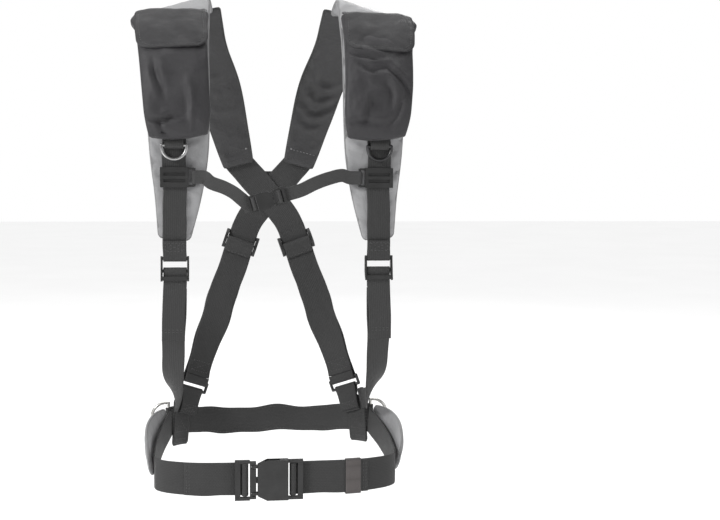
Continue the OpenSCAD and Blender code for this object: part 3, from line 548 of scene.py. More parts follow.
def studio():
    scene = bpy.context.scene
    target, distance = Vector((0, 0, -0.325)), 1.6
    azimuth, elevation = math.radians(-3), math.radians(5)
    yaw = math.radians(-4.0459)                         # aims to the side, so the vest stands left of centre
    place = target + distance * Vector((math.sin(azimuth) * math.cos(elevation),
                                        -math.cos(azimuth) * math.cos(elevation), math.sin(elevation)))
    forward = (target - place).normalized()
    right = forward.cross(Vector((0, 0, 1))).normalized()
    up = right.cross(forward)
    turn = Matrix.Rotation(yaw, 3, up)
    forward, right = turn @ forward, turn @ right
    camera = bpy.data.objects.new("camera", bpy.data.cameras.new("camera"))
    camera.data.lens, camera.data.sensor_width = 61.5, 36
    camera.data.clip_end = 30
    rotation = Matrix((right, up, -forward)).transposed()
    camera.matrix_world = Matrix.Translation(place) @ rotation.to_4x4()
    scene.collection.objects.link(camera)
    scene.camera = camera

    def area(name, at, aim, size, power):
        light = bpy.data.lights.new(name, "AREA")
        light.shape, light.size, light.energy = "DISK", size, power
        o = bpy.data.objects.new(name, light)
        o.location = at
        o.rotation_mode = "QUATERNION"
        o.rotation_quaternion = (Vector(aim) - Vector(at)).to_track_quat("-Z", "Y")
        scene.collection.objects.link(o)

    area("key", (-1.9, -1.2, 0.8), (0, 0, -0.25), 0.6, 36)
    area("fill", (2.0, -1.3, 0.2), (0, 0, -0.3), 1.2, 6)
    area("back_light", (0.6, 2.2, 1.3), (0, 0, -0.3), 1.2, 16)
    sun = bpy.data.objects.new("overhead", bpy.data.lights.new("overhead", "SUN"))
    sun.data.energy, sun.data.angle = 2.3, math.radians(70)
    sun.rotation_euler = (math.radians(-8), 0, 0)
    scene.collection.objects.link(sun)

    world = bpy.data.worlds.new("studio")
    world.use_nodes = True
    backdrop = world.node_tree.nodes["Background"]
    seen = world.node_tree.nodes.new("ShaderNodeLightPath")
    level = world.node_tree.nodes.new("ShaderNodeMapRange")
    level.inputs["To Min"].default_value, level.inputs["To Max"].default_value = 0.25, 1.0
    world.node_tree.links.new(seen.outputs["Is Camera Ray"], level.inputs["Value"])
    world.node_tree.links.new(level.outputs[0], backdrop.inputs["Strength"])
    backdrop.inputs["Color"].default_value = (1, 1, 1, 1)
    scene.world = world
    scene.view_settings.view_transform = "Standard"

    k = Nodes("floor_pale")
    soft = k.noise(3, 3)
    k.finish(k.mix(soft, (0.93, 0.93, 0.93, 1), (0.98, 0.98, 0.98, 1)), 0.9,
             k.bump(k.noise(60), 0.0005, 0.2), Specular_IOR_Level=0.1)
    floor = Shape()
    corners = [(-9000, -6000), (9000, -6000), (9000, 9000), (-9000, 9000)]
    floor.add([[x, y, -780] for x, y in corners], [(0, 1, 2, 3)])
    floor.make("floor", [k.mat])


studio()


# ---- pads: crowned forms with a bound edge ----------------------------------------------------

def outline(form):
    """The closed line round a form, as (across, along)."""
    r0, r1, n = form.round_start, form.round_end, form.length
    ls = np.concatenate([
        r0 * (1 - np.cos(np.linspace(0, math.pi / 2, 7)[:-1])) if r0 else [],
        np.linspace(r0, n - r1, max(3, int((n - r0 - r1) / 2.5))),
        n - r1 * (1 - np.cos(np.linspace(math.pi / 2, 0, 7)[1:])) if r1 else []])
    half = form.half(ls)
    return np.vstack([np.column_stack([-half, ls]), np.column_stack([half, ls])[::-1]])


def even(line, step):
    """A closed line with evenly spaced points."""
    p = np.vstack([line, line[:1]])
    s = np.r_[0, np.cumsum(np.linalg.norm(np.diff(p, axis=0), axis=1))]
    x = np.linspace(0, s[-1], max(4, int(s[-1] / step)), endpoint=False)
    return np.column_stack([np.interp(x, s, p[:, 0]), np.interp(x, s, p[:, 1])])


def two_faces(low, top, u, l):
    """Rings round a sheet from its under and upper face, with their weave map."""
    uv = np.stack([u, l], -1)
    return np.concatenate([low, top[:, ::-1]], 1), np.concatenate([uv, uv[:, ::-1]], 1)


def across_grid(form, ls, cols):
    """Places (across, along) over a form, closer together at its edges."""
    u = form.half(ls)[:, None] * np.sin(np.linspace(-math.pi / 2, math.pi / 2, cols))[None, :]
    return u, np.repeat(ls[:, None], cols, 1)


def crown(form, thick, edge):
    """Half the thickness of a pad at a place: full in the middle, pinched to the seam."""
    def h(u, l):
        w = np.maximum(form.half(l), 1e-3)
        q = np.clip(np.abs(u) / w, 0, 1)
        e = np.clip(np.minimum(l, form.length - l) / 14.0, 0, 1)
        return edge + (thick / 2 - edge) * (1 - q**3) ** 0.6 * (1 - (1 - e) ** 3) ** 0.6
    return h


def pad_form(form, thick, edge, relief, tape=3.2, scale=(26, 26, 26), seed=1.0, creases=()):
    """A sewn pad: crowned faces with cloth relief, an edge tape and its stitches on both faces."""
    n, cols = int(form.length / 3.0), 27
    ls = form.length * (0.25 * (0.5 - 0.5 * np.cos(np.linspace(0, math.pi, n))) + 0.75 * np.linspace(0, 1, n))
    u, l = across_grid(form, ls, cols)
    hh = crown(form, thick, edge)(u, l)
    mid = form.at(u, l)
    out = np.repeat(form.pick(form.O, ls)[:, None, :], cols, 1)
    weight = np.clip((hh - edge) / (thick / 2 - edge), 0, 1) ** 0.7
    from_seam = form.half(ls)[:, None] - np.abs(u)
    pucker = np.sin(l / 2.5 + 3 * ripple(mid, (40, 40, 40), seed + 5)) * np.exp(-((from_seam - 5) / 5) ** 2)
    wave = relief * (ripple(mid, scale, seed) + 0.3 * pucker)
    for line, depth, width in creases:
        d, strong = distance_to(np.stack([u, l], -1), line)
        wave -= strong * depth * (np.exp(-(d / width) ** 2) - 0.5 * np.exp(-((d - 1.9 * width) / width) ** 2))
    top = mid + out * (hh + wave * weight)[..., None]
    under = 0.3 * relief * ripple(mid, scale, seed + 3) - 0.85 * wave      # the fold carries through
    low = mid - out * (hh * 0.92 + under * weight)[..., None]
    shape = Shape()
    rings, uv = two_faces(low, top, u, l)
    shape.tube(rings, 0, uv)
    edge_tape(shape, form, edge, tape)
    return shape


def edge_tape(shape, form, edge, tape):
    """A flat oval carried round the outline, stitched down on both faces."""
    sides, step = 14, 2.6
    line = even(outline(form), step)
    middle = [0, form.length / 2]
    t = unit(np.roll(line, -1, 0) - np.roll(line, 1, 0))
    inward = np.column_stack([t[:, 1], -t[:, 0]])
    if ((line + inward * 3 - middle) ** 2).sum() > ((line - middle) ** 2).sum():
        inward = -inward
    ring = []
    for a in np.linspace(0, 2 * math.pi, sides, endpoint=False):
        c, s = math.cos(a), math.sin(a)
        du = tape * (abs(c) ** 0.7 * math.copysign(1, c))
        dh = (edge + 0.75) * (abs(s) ** 0.7 * math.copysign(1, s))
        p = line + inward * (du + tape * 0.72)
        ring.append(form.at(p[:, 0], np.clip(p[:, 1], 0, form.length), np.full(len(p), dh)))
    s = np.arange(len(line))[:, None] * step
    uv = np.stack([np.repeat(np.linspace(0, sides, sides)[None], len(line), 0), np.repeat(s, sides, 1)], -1)
    shape.tube(np.stack(ring, 1), 1, uv, closed=True, caps=False)
    sew = line + inward * (tape * 1.45)
    sew = np.vstack([sew, sew[:1]])
    sew[:, 1] = np.clip(sew[:, 1], 0, form.length)
    for side in (1, -1):
        stitches(shape, form, sew, edge + 0.62, side, 3.0, 1.6, 0.34, 2)


def distance_to(p, line):
    """Distance of points (..., 2) from a smooth line, and how strong the line is there."""
    line = np.asarray(line, float)
    line = catmull(line, np.linspace(0, len(line) - 1, 4 * len(line)))
    best, strength = np.full(p.shape[:-1], 1e9), np.zeros(p.shape[:-1])
    for i, (a, b) in enumerate(zip(line[:-1], line[1:])):
        d = b - a
        t = np.clip(((p - a) @ d) / max(d @ d, 1e-9), 0, 1)
        dist = np.linalg.norm(p - a - t[..., None] * d, axis=-1)
        along = (i + t) / (len(line) - 1)
        strength = np.where(dist < best, np.sin(np.pi * np.clip(along * 0.86 + 0.07, 0, 1)) ** 0.7, strength)
        best = np.minimum(best, dist)
    return best, strength


def both(build):
    """Runs a builder for the left and the right side."""
    for name, mirror in (("left", False), ("right", True)):
        build(name, mirror)


def padded_piece(shape, name, node, materials, mirror):
    o = shape.make(name, materials, mirror)
    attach(o, "harness")
    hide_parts(node)


def shoulder_pads(side, mirror):
    rows = [list(r) for r in SHOULDER]
    # the crest stands a little higher, and more so towards the neck
    for i, lift, lean in ((0, 1, -0.22), (1, 4, -0.27), (2, 5, -0.29), (3, 2.5, -0.24)):
        rows[i][2] += lift
        rows[i][6] = lean
    form = sweep(rows, 0, len(SHOULDER) - 1, 2.5)
    form.round_start, form.round_end = 5.0, 6.0
    shape = pad_form(form, PAD_T + 0.8, 1.1, 2.0, scale=(26, 26, 15), seed=2.0 if mirror else 5.0,
                     creases=[([(-34, 222), (-16, 236), (2, 230)], 1.6, 4.0),
                              ([(34, 232), (22, 246), (6, 252)], 1.5, 4.0),
                              ([(30, 268), (16, 280), (-4, 274)], 1.4, 3.5),
                              ([(-30, 276), (-14, 290), (4, 286)], 1.4, 3.5)])
    padded_piece(shape, "pad_shoulder_" + side, "shoulder_pad_" + side,
                 [PAD, BINDING_GREY, THREAD_GREY], mirror)


def back_yokes(side, mirror):
    first = [[102, 17, -8.5, 72, -0.96, 0, 0.28], [98, 43, -33, 72, -1, 0, 0.16]]   # higher at the neck
    form = sweep(first + YOKE[2:], 0, len(YOKE) - 1, 2.5)
    form.W *= 1 + 0.03 * np.sin(form.L / 21 + 1.0) * np.clip(form.L / 60, 0, 1)
    form.round_start, form.round_end = 3.0, 3.0
    creases = [([(-24, 92), (2, 110), (26, 104)], 1.6, 5.0),
               ([(-20, 150), (4, 160), (20, 150)], 1.3, 4.5),
               ([(24, 120), (8, 134), (-6, 132)], 1.3, 4.0)] if mirror else [
                   ([(-30, 104), (-6, 122), (20, 112)], 2.4, 5.0),
                   ([(-26, 126), (-2, 144), (24, 130)], 2.6, 5.0),
                   ([(-22, 152), (0, 166), (20, 154)], 2.2, 4.5),
                   ([(-16, 176), (4, 184), (18, 174)], 1.6, 4.0),
                   ([(24, 88), (10, 122), (0, 152)], 1.6, 4.5)]
    shape = pad_form(form, YOKE_T + 1.0, 1.0, 1.6 if not mirror else 1.2, scale=(26, 20, 18),
                     seed=11.0 if mirror else 8.0, tape=2.4, creases=creases)
    end = form.length - 20
    height = crown(form, YOKE_T + 1.0, 1.0)
    dark, pale = 2, 3
    for face in (1, -1):
        for l, thread in ((end, dark if mirror else pale), (end + 12, dark)):
            w = float(form.half(l)) - 4
            stitches(shape, form, [(-w, l), (w, l)], lambda u, x: height(u, x) + 0.1, face,
                     2.6, 2.0, 0.27, thread)
        w = float(form.half(end)) - 7
        stitches(shape, form, [(w - 1.6, end - 0.5), (w + 1.6, end - 0.5)],
                 lambda u, x: height(u, x) + 0.2, face, 2.6, 0.2, 0.9, pale)
    padded_piece(shape, "yoke_back_" + side, "back_yoke_" + side,
                 [YOKE_CLOTH, BINDING_DARK, THREAD_DARK, THREAD_PALE], mirror)


def hip_pads(side, mirror):
    last, count = 2.86, 60
    off = WEB_T / 2 + SEAM + HIP_T / 2
    rows = []
    for i in range(count + 1):
        p, _, s, o, _ = station(SIDE, last * i / count, off)
        rise = math.sin(math.pi * (0.1 + 0.8 * i / count) ** 0.8)     # tallest in the middle
        place = p + [0, 0, 3 + 7 * rise] + 2.0 * rise * o
        rows.append([*place, 24 + 34 * rise, *unit(s + 0.16 * rise * o)])
    form = Band(rows)
    form.round_start = form.round_end = 9.0
    shape = pad_form(form, HIP_T + 0.6, 1.1, 0.5, scale=(24, 24, 20), seed=14.0 if mirror else 17.0, tape=2.8)
    padded_piece(shape, "pad_hip_" + side, "hip_pad_" + side,
                 [PAD, BINDING_GREY, THREAD_GREY], mirror)


both(shoulder_pads)
both(back_yokes)
both(hip_pads)


# ---- pouches ----------------------------------------------------------------------------------

def pouch_fill(u):
    """How far a pouch stands off its back at a part u of its length."""
    return 16 + 9 * np.sin(np.radians(165 * u)) - 2 * u * u


def pouch_spot(u, off):
    """Place, direction down, across and outward on a pouch, off its back."""
    t = POUCH_FROM + (POUCH_TO - POUCH_FROM) * u
    p, d, s, o, _ = station(SHOULDER, t, PAD_T / 2 + 0.6 + 14.5 * u * u + off)
    return p + np.array([4.5 * (1 - u), 0, 0]), d, s, o


def pouch_face_row(g, off, width):
    """A row on the pouch's outer face, g twelfths down its length."""
    i = min(int(g), 11)
    a, b = (pouch_spot(k / 12, float(pouch_fill(k / 12)) + off) for k in (i, i + 1))
    f = g - i
    return [*(a[0] * (1 - f) + b[0] * f), width, *(a[2] * (1 - f) + b[2] * f)]


# Creases of the pouches' faces: places (x, z) along each, its depth and its width, in millimetres.
POUCH_CREASES = {
    "right": [([(148, -77), (142, -100), (133, -120)], 1.6, 4.5),
              ([(127, -78), (115, -102), (111, -125), (110, -143)], 2.4, 5.0),
              ([(107, -110), (107, -140), (108, -162)], 1.4, 3.0),
              ([(158, -145), (139, -150), (121, -143), (111, -141)], 2.6, 4.0),
              ([(139, -150), (135, -163), (122, -168)], 1.3, 3.5),
              ([(138, -72), (126, -92), (122, -112)], 1.2, 4.0)],
    "left": [([(77, -61), (97, -67), (117, -73), (137, -88), (154, -106), (157, -120)], 2.6, 4.0),
             ([(125, -101), (114, -123), (108, -139), (104, -152)], 1.9, 4.0),
             ([(95, -76), (111, -84), (125, -96), (134, -112), (136, -134)], 2.2, 5.0),
             ([(76, -152), (90, -150), (104, -148), (120, -154)], 1.7, 3.5),
             ([(148, -122), (143, -140), (130, -154)], 1.4, 4.0)]}
POUCH_WALL, POUCH_COLS, POUCH_ROWS = 1.3, 128, 84


def pouch_ring(v, x0, y0, mirror):
    """A ring round a pouch. v runs a little past 1 as the foot rounds off; x0, y0 are from -0.5 to 0.5."""
    u = min(v, 1.0)
    close = max(0.0, (v - 0.84) / 0.22)
    p, d, across, out = pouch_spot(u, 0)
    crowned = 1 - (2 * x0) ** 2
    bulge = 1 + 0.10 * math.sin(math.pi * min(1, u * 1.02)) * crowned
    width = (90 - 13 * u) * (1 - 0.2 * close**2.0)
    depth = float(pouch_fill(u)) * (1 - 0.80 * close**2.6)
    front = np.clip(y0 * 2, 0, 1)
    drop = 3.5 * close**1.2 * crowned * (0.45 + 0.55 * front) + 3.0 * close * (x0 if mirror else -x0)
    side_pull = 1 - 0.025 * np.sin(np.pi * u) * (1 - np.abs(2 * y0))
    h = (y0 + 0.5) * depth * np.where(y0 > 0, bulge, 1)
    ear = 5.5 * np.exp(-((u - 0.13) / 0.07) ** 2) * np.clip((x0 - 0.25) / 0.25, 0, 1)
    slump = 2.2 * np.sin(np.pi * np.clip((u - 0.45) / 0.6, 0, 1)) * np.clip((x0 - 0.2) / 0.3, 0, 1)
    sideways = x0 * width * side_pull + ear + (0 if mirror else slump)
    ring = p + across * sideways[:, None] + out * h[:, None] + d * (max(0, v - 1) * 20 + drop)[:, None]
    return ring, out, np.column_stack([x0 * width + (y0 < 0) * 100, np.full(len(x0), v * 160)])


def pouches(side, mirror):
    a = 2 * math.pi * (np.arange(POUCH_COLS) + 0.5) / POUCH_COLS
    c, s = np.cos(a), np.sin(a)
    x0 = -0.5 * np.sign(c) * np.abs(c) ** 0.45
    y0 = -0.5 * np.sign(s) * np.abs(s) ** 0.55
    down = np.arange(POUCH_ROWS)
    rings, outs, uvs = (np.array(q) for q in zip(*(
        pouch_ring(i / (POUCH_ROWS - 1) * 1.06, x0, y0, mirror) for i in down)))
    wave = 2.2 * ripple(rings, (26, 26, 30), 21.0 if mirror else 27.0)
    for line, depth, width in POUCH_CREASES[side]:
        dist, strong = distance_to(rings[..., [0, 2]], line)
        wave -= strong * 1.9 * depth * np.exp(-(dist / (0.8 * width)) ** 2)
        wave += strong * 0.9 * depth * np.exp(-((dist - 1.8 * width) / width) ** 2)
    calm = np.clip(np.minimum(down / 11, 0.25 + down[::-1] / 14), 0, 1)     # less at the mouth and the foot
    rings = rings + outs[:, None] * (wave * np.clip(y0 * 2, 0, 1) * calm[:, None])[..., None]
    floor = POUCH_ROWS - 6
    inner = (rings - unit(rings - rings.mean(1, keepdims=True)) * POUCH_WALL)[:floor]
    wall = np.concatenate([rings[::-1], inner])
    shape = Shape()
    shape.tube(wall, 0, np.concatenate([uvs[::-1], uvs[:floor]]), caps=False)
    n, m = wall.shape[:2]
    for row, turn in ((0, -1), (n - 1, 1)):                 # the foot and the pocket's floor
        hub = shape.n
        shape.add([wall[row].mean(0)], [], 0, [[0, 0]])
        for j in range(m):
            shape.f.append((hub, row * m + j, row * m + (j + 1) % m)[::turn])
            shape.m.append(0)
    padded_piece(shape, "pouch_shell_" + side, "pouch_" + side,
                 [POUCH_CLOTH, THREAD_DARK], mirror)


both(pouches)


def flaps(side, mirror):
    rows = []
    for q, h, w in [(0.05, 0.8, 76), (0.25, 2.6, 79), (0.5, 7.4, 82), (0.75, 14.5, 84)]:
        p, _, s, o, _ = station(SHOULDER, 3 + q, PAD_T / 2 + h)
        rows.append([*(p + [5 * q, 0, 0]), w, *s])
    rows += [pouch_face_row(g, 2.6, w) for g, w in
             ((0.25, 86), (1, 87), (2, 87), (3, 87), (4, 86), (5, 85), (5.8, 84))]
    band = Band(smoothed(rows, 1.8))
    band.round_start, band.round_end = 2.0, 19.0
    n, cols = len(band.P), 41
    u, l = across_grid(band, band.L, cols)
    out = np.repeat(band.O[:, None, :], cols, 1)
    edge = np.clip(np.minimum(band.half(band.L)[:, None] - np.abs(u), band.length - l) / 6.0, 0, 1)
    loose = np.clip(l / 30, 0, 1)
    wave = 0.9 * ripple(band.at(u, l), (24, 24, 20), 33.0 if mirror else 37.0) * loose
    curl = 1.0 * (1 - np.clip((band.length - l) / 16, 0, 1)) ** 2 * np.cos(u / 46 * 1.2)
    dip = -0.9 * np.exp(-((l - 52) / 9.0) ** 2) * (1 - (u / 46) ** 2) \
        - 4.5 * np.clip((np.abs(u) - 24) / 20, 0, 1) ** 1.6 * loose
    shift = wave + curl + dip
    hem = 1 - np.clip((edge - 0.55) / 0.2, 0, 1)
    t = (0.75 + 0.315 * hem) * np.clip(0.55 + edge * 3, 0, 1)
    mid = band.at(u, l) + out * shift[..., None]
    shape = Shape()
    rings, uv = two_faces(mid - out * t[..., None], mid + out * t[..., None], u, l)
    shape.tube(rings, 0, uv)

    def height(uu, ll):
        i = np.clip(np.interp(ll, band.L, np.arange(n)), 0, n - 1).astype(int)
        turn = np.arcsin(np.clip(uu / band.half(band.L)[i], -1, 1)) / math.pi + 0.5
        return shift[i, np.clip((turn * (cols - 1)).round(), 0, cols - 1).astype(int)] + 0.95

    line = outline(band)
    line = line[line[:, 1] > 8]
    t = unit(np.gradient(line, axis=0))
    inward = np.column_stack([t[:, 1], -t[:, 0]])
    k = len(line) // 2 // 3
    if inward[k, 0] * line[k, 0] > 0:
        inward = -inward
    sew = line + inward * 5.0
    hinge_line = 5.0
    w = float(band.half(hinge_line)) - 3
    for lines in (sew[sew[:, 1] < band.length - 4.0], [(-w, hinge_line), (w, hinge_line)]):
        stitches(shape, band, lines, height, 1, 2.8, 1.5, 0.34)
    o = shape.make("flap_" + side, [FLAP_CLOTH, THREAD_DARK], mirror)
    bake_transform(o)
    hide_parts("pouch_flap_" + side)

    for name, gs, off, width, mat, body in (
            ("flap_hook_", (4.2, 5, 5.6), 1.35, 50, HOOK, "pouch_flap_" + side),
            ("pouch_loop_", (4.1, 5, 5.7), 0.5, 54, LOOP, "harness")):
        b = Band(smoothed([pouch_face_row(g, off, width) for g in gs], 1.5))
        b.round_start = b.round_end = 2.5
        face = 1 if body == "harness" else -1
        pile = webbing(b, 0.5, box_x(2, b.length - 2, width / 2 - 2, False), (face,), 0.0)
        p = pile.make(name + "pile_" + side, [mat, THREAD_DARK], mirror)
        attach(p, body)
        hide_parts(name + "patch_" + side)


both(flaps)


# ---- webbing ----------------------------------------------------------------------------------

def place(shape, name, node, mirror, slot_name="webbing", mats=None, body="harness"):
    o = shape.make(name, mats or [WEB, THREAD_DARK], mirror)
    if body:
        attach(o, body)
    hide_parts(node)
    return o


def front_webs(side, mirror):
    x, y = [1, 0, 0], STRAP_Y
    f = [ADJUSTER_BAR, np.array([1, 0, 0]), np.array([0, 1, 0]), np.array([0, 0, -1])]
    back = [[STRAP_X, p[0], p[1], FRONT_W, *x] for p in
            [(-99.4, -148), (-100.4, -156), (-104.9, -165), (y, -172), (y, -215), (y, -260), (y, -303)]]
    front = [[STRAP_X, ADJUSTER_BAR[1] + p[0], p[1], FRONT_W, *x] for p in
             [(-TURN, -306), (-TURN + 2.2, -299), (-TURN + 3.4, -292)]]
    b = Band(smoothed(back + rows_in(f, fold(TURN), FRONT_W, x) + front))
    n = b.length
    sewn = box_x(n - 13, n - 3, 11) + lines_across(11, 3, 8)
    place(webbing(b, WEB_T, sewn, (-1, 1)), "web_front_" + side, "front_strap_" + side, mirror)

    f = [RING_BAR, f[1], f[2], f[3]]
    width = 2 * 14.5 - 7
    pts = [[0, TURN, -16], [0, TURN, -4]] + fold(TURN) + [
        [0, -TURN, -4], [0, -TURN + 2.2, -9], [0, TURN - LAYER, -14]]
    b = Band(smoothed(rows_in(f, pts, width, x), 1.2))
    web = webbing(b, WEB_T, box_x(b.length - 5, b.length - 1.5, 8, False), (1, -1), 0.1)
    place(web, "web_ring_keeper_" + side, "shoulder_ring_keeper_" + side, mirror)

    f = [ADJUSTER_BAR - [0, 0, 15], f[1], f[2], np.array([0, 0, 1])]
    pts = [[0, TURN, -20.7], [0, TURN, -4]] + fold(TURN) + [
        [0, -TURN, -4], [0, -TURN, -16], [0.5, -TURN + 1.8, -30], [2, -TURN + 1.2, -55],
        [2.5, -TURN + 5, -85]]
    b = Band(smoothed(rows_in(f, pts, FRONT_W - 0.4, x)))
    n = b.length
    tail = webbing(b, WEB_T, lines_across(11.5, n - 14, n - 11), (1, -1), 0.2)
    hem = Band(np.column_stack([b.P, b.W - 0.6, b.S])[-9:], -1.75)
    webbing(hem, 1.7, shape=tail, amount=0.2)
    place(tail, "web_tail_" + side, "adjuster_tail_" + side, mirror, body="strap_adjuster_" + side)

    tab = -BELT_T - SEAM - BELT_T / 2 - SEAM - WEB_T / 2
    low = [list(r) for r in LOWER]
    for t, z, off in ((0.12, -520, tab - 1.7), (0.42, -523, tab - 0.8)):
        p = station(BACK, t, off)[0]
        low.append([p[0], p[1], z, FRONT_W, 0, 0, 1])
    b = sweep(low, 0, len(low) - 1, 2.0)
    n = b.length
    web = webbing(b, WEB_T, lines_across(11, n - 3, n - 7), (1, -1), 0.2)
    o = place(web, "web_lower_" + side, "lower_strap_" + side, mirror, body=None)
    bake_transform(o)


both(front_webs)


def hip_webs(side, mirror):
    s = webbing(sweep(SIDE, 0, len(SIDE) - 1, 2.5), WEB_T, amount=0.2)
    place(s, "web_side_" + side, "side_belt_" + side, mirror, mats=BELT_MATERIALS)
    b = sweep(BACK, 0.02, 1.3, 1.8, -BELT_T - SEAM, 64)
    b.round_start = b.round_end = 3.0
    n = b.length
    sewn = box_x(4, n - 4, 14, True) + [[(-29, 2.5), (29, 2.5), (29, n - 2.5), (-29, n - 2.5), (-29, 2.5)],
                                        [(-24, 5), (-24, n - 5)], [(24, 5), (24, n - 5)]]
    place(webbing(b, BELT_T, sewn, (1, -1), 0.0), "tab_hip_" + side, "hip_tab_" + side, mirror,
          mats=BELT_MATERIALS)
    p, _, _, o, _ = station(BACK, 0.12, BELT_T / 2 + SEAM + WEB_T / 2 + TURN)
    nrm = unit([o[0], o[1], 0])
    f = [np.array([p[0], p[1], -543]), np.array([0, 0, 1.0]), nrm, np.array([-nrm[1], nrm[0], 0])]
    pts = [[0, -TURN, 15], [0, -TURN, 4]] + [[0, -y, -z] for _, y, z in fold(TURN)] + [
        [0, TURN, 4], [0, TURN - 2.4, 9], [0, -TURN + LAYER, 15]]
    b = Band(smoothed(rows_in(f, pts, 24, [0, 0, 1]), 1.2))
    web = webbing(b, WEB_T, box_x(b.length - 6, b.length - 1.5, 9, False), (1, -1), 0.05)
    place(web, "web_hip_keeper_" + side, "hip_ring_keeper_" + side, mirror)


both(hip_webs)


def back_belt():
    b = sweep(BACK, 0, len(BACK) - 1, 2.5)
    n = b.length
    x = b.P[:, 0]
    free = np.clip((95 - np.abs(x)) / 25, 0, 1)
    b.P[:, 2] += (1.7 * np.sin(x / 19.0 + 0.6) + 0.8 * np.sin(x / 8.7)) * free
    b.W = b.W * (1 + 0.04 * np.sin(x / 13.0 + 1.0) * free)
    w = 15.5
    sewn = [[(-w, 20), (-w, n - 20)], [(w, 20), (w, n - 20)]]
    place(webbing(b, BELT_T, sewn, (1, -1), 0.3), "web_back_belt", "back_belt", False, mats=BELT_MATERIALS)


back_belt()


class Cross:
    """The straight part of a crossed back strap and its frames."""

    def __init__(self, lift):
        self.lift = lift
        self.start = np.array(CROSS_TOP[-1], float) + [0, lift, 0]
        self.up = unit(self.start - CROSS_END)
        self.side = unit(np.array([1.0, 0, 0]) - self.up[0] * self.up)
        self.length = float(np.linalg.norm(self.start - CROSS_END))
        self.ring = self.turned(self.length)
        self.ring[0] = self.ring[0] - TURN * self.ring[2]

    def turned(self, down):
        q = min(max((down - CROSS_TWIST[0]) / (CROSS_TWIST[1] - CROSS_TWIST[0]), 0), 1)
        g = CROSS_TWIST[2] * q * q * (3 - 2 * q)
        y = np.cross(self.up, self.side)
        return [self.start - down * self.up, math.cos(g) * self.side - math.sin(g) * y,
                math.cos(g) * y + math.sin(g) * self.side, self.up]

    def run(self, first, last, off, step=4.0):
        places = np.arange(first, last, step if last > first else -step)
        return [[*(f[0] + off * f[2]), CROSS_W, *f[1]] for f in map(self.turned, places)]


def crossed(side, mirror):
    c = Cross(LAYER if mirror else 0.0)
    f, a = c.ring, c.ring[1]
    top = [[p[0], p[1] + c.lift, p[2], CROSS_W, *CROSS_TOP_ACROSS] for p in CROSS_TOP[:-1]]
    round_bar = [[0, y, -z] for _, y, z in fold(TURN)]
    loop = rows_in(f, [[0, TURN, 4]] + round_bar + [[0, -TURN, 4], [0, -TURN + 0.4, 8]], CROSS_W, a)
    b = Band(smoothed(top + c.run(0, c.length - 8, 0) + loop))
    free = np.clip((c.length - 75 - (b.length - b.L)) / 30, 0, 1)      # nothing where the slider runs
    b.W = b.W * (1 + 0.05 * np.sin(np.pi * np.clip((b.length - b.L - 40) / 130, 0, 1)))
    b.loose = 0.3 + 1.7 * free
    web = webbing(b, WEB_T, lines_across(16, 4, 8, 26), (1, -1), 0.3)
    place(web, "web_cross_" + side, "cross_strap_" + side, mirror)

    g = [c.start - 20 * c.up, c.side, np.cross(c.up, c.side), c.up]
    slide = 1.5 + FIT + WEB_T / 2
    mid = -LAYER - slide
    low = rows_in(f, [[0, -TURN + 0.5, 8.4], [0, TURN - LAYER - 1, 20]], CROSS_W, a)
    low += c.run(184, 72, -LAYER - 0.25)
    round_bar = [[0, mid + y / TURN * slide, z / TURN * slide] for _, y, z in fold(TURN)]
    end = [[0, mid - slide, -4], [0, mid - slide + 2, -10], [0, -2 * LAYER, -18]]
    high = rows_in(g, [[0, -LAYER, -24], [0, -LAYER, -5]] + round_bar + end, CROSS_W, c.side)
    b = Band(smoothed(low + high))
    n = b.length
    web = webbing(b, WEB_T, box_x(6, 20, 14) + lines_across(14, n - 2), (1, -1), 0.3)
    o = place(web, "web_return_" + side, "cross_return_" + side, mirror, body=None)
    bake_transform(o)

    width, z = CROSS_W - 6, -RING_HEIGHT
    heading = station(BACK, 1.06)[1]
    flat = np.array([0, 0, 0.34]) - 0.94 * heading
    mid = unit(2 * a + flat)
    off = -BELT_T - SEAM - BELT_T / 2 - SEAM - WEB_T / 2 - 2.7
    def on_tab(t, height, o):
        p = station(BACK, t, o)[0]
        return [p[0], p[1], height, width, *flat]
    rows = [on_tab(0.97, -543, off), on_tab(1.14, -528, off)] + rows_in(f, [[0, TURN, z - 5]], width, mid) \
        + rows_in(f, [[0, y, q + z] for _, y, q in fold(TURN)], width, a) \
        + rows_in(f, [[0, -TURN, z - 5]], width, mid) \
        + [on_tab(1.12, -530, off - LAYER - 0.3), on_tab(1.0, -540, off - LAYER)]
    b = Band(smoothed(rows, 1.3))
    n = b.length
    web = webbing(b, WEB_T, box_x(2.5, 12, 12) + box_x(n - 10, n - 2, 12), (1, -1), 0.0)
    place(web, "web_tongue_" + side, "ring_tongue_" + side, mirror)


both(crossed)


def cross_patch():
    rows = [[0, 126.6, z, 38, 1, 0, 0] for z in np.linspace(-272, -212, 31)]
    b = Band(rows)
    b.round_start = b.round_end = 2.0
    s = webbing(b, 1.4, box_x(3, 57, 16) + lines_across(16, 30), (-1, 1), 0.0)
    place(s, "patch_cross", "cross_patch", False, mats=BELT_MATERIALS)


cross_patch()


def buckle_turn(x0, s, t, k):
    bar, slot = 0.4 + 1.6 * k, t + 2 * FIT + 1.4 * k
    q, r, gap = bar + slot, bar + FIT + t / 2, t + SEAM
    return [[x0 + s * 1.39 * q, 0.73 * q + gap, 0], [x0 + s * 0.52 * q, 0.7 * q + gap, 0],
            [x0 - s * 0.1 * q, 0.62 * q + t, 0], [x0 - s * 0.5 * q, 0.38 * q, 0]] \
        + [[x0 - s * r * math.cos(math.pi * i / 6), -r * math.sin(math.pi * i / 6), 0] for i in range(7)] \
        + [[x0 + s * 0.6 * q, 0.29 * q, 0], [x0 + s * 0.92 * q, 0.66 * q, 0],
           [x0 + s * 1.39 * q, 0.73 * q, 0]]


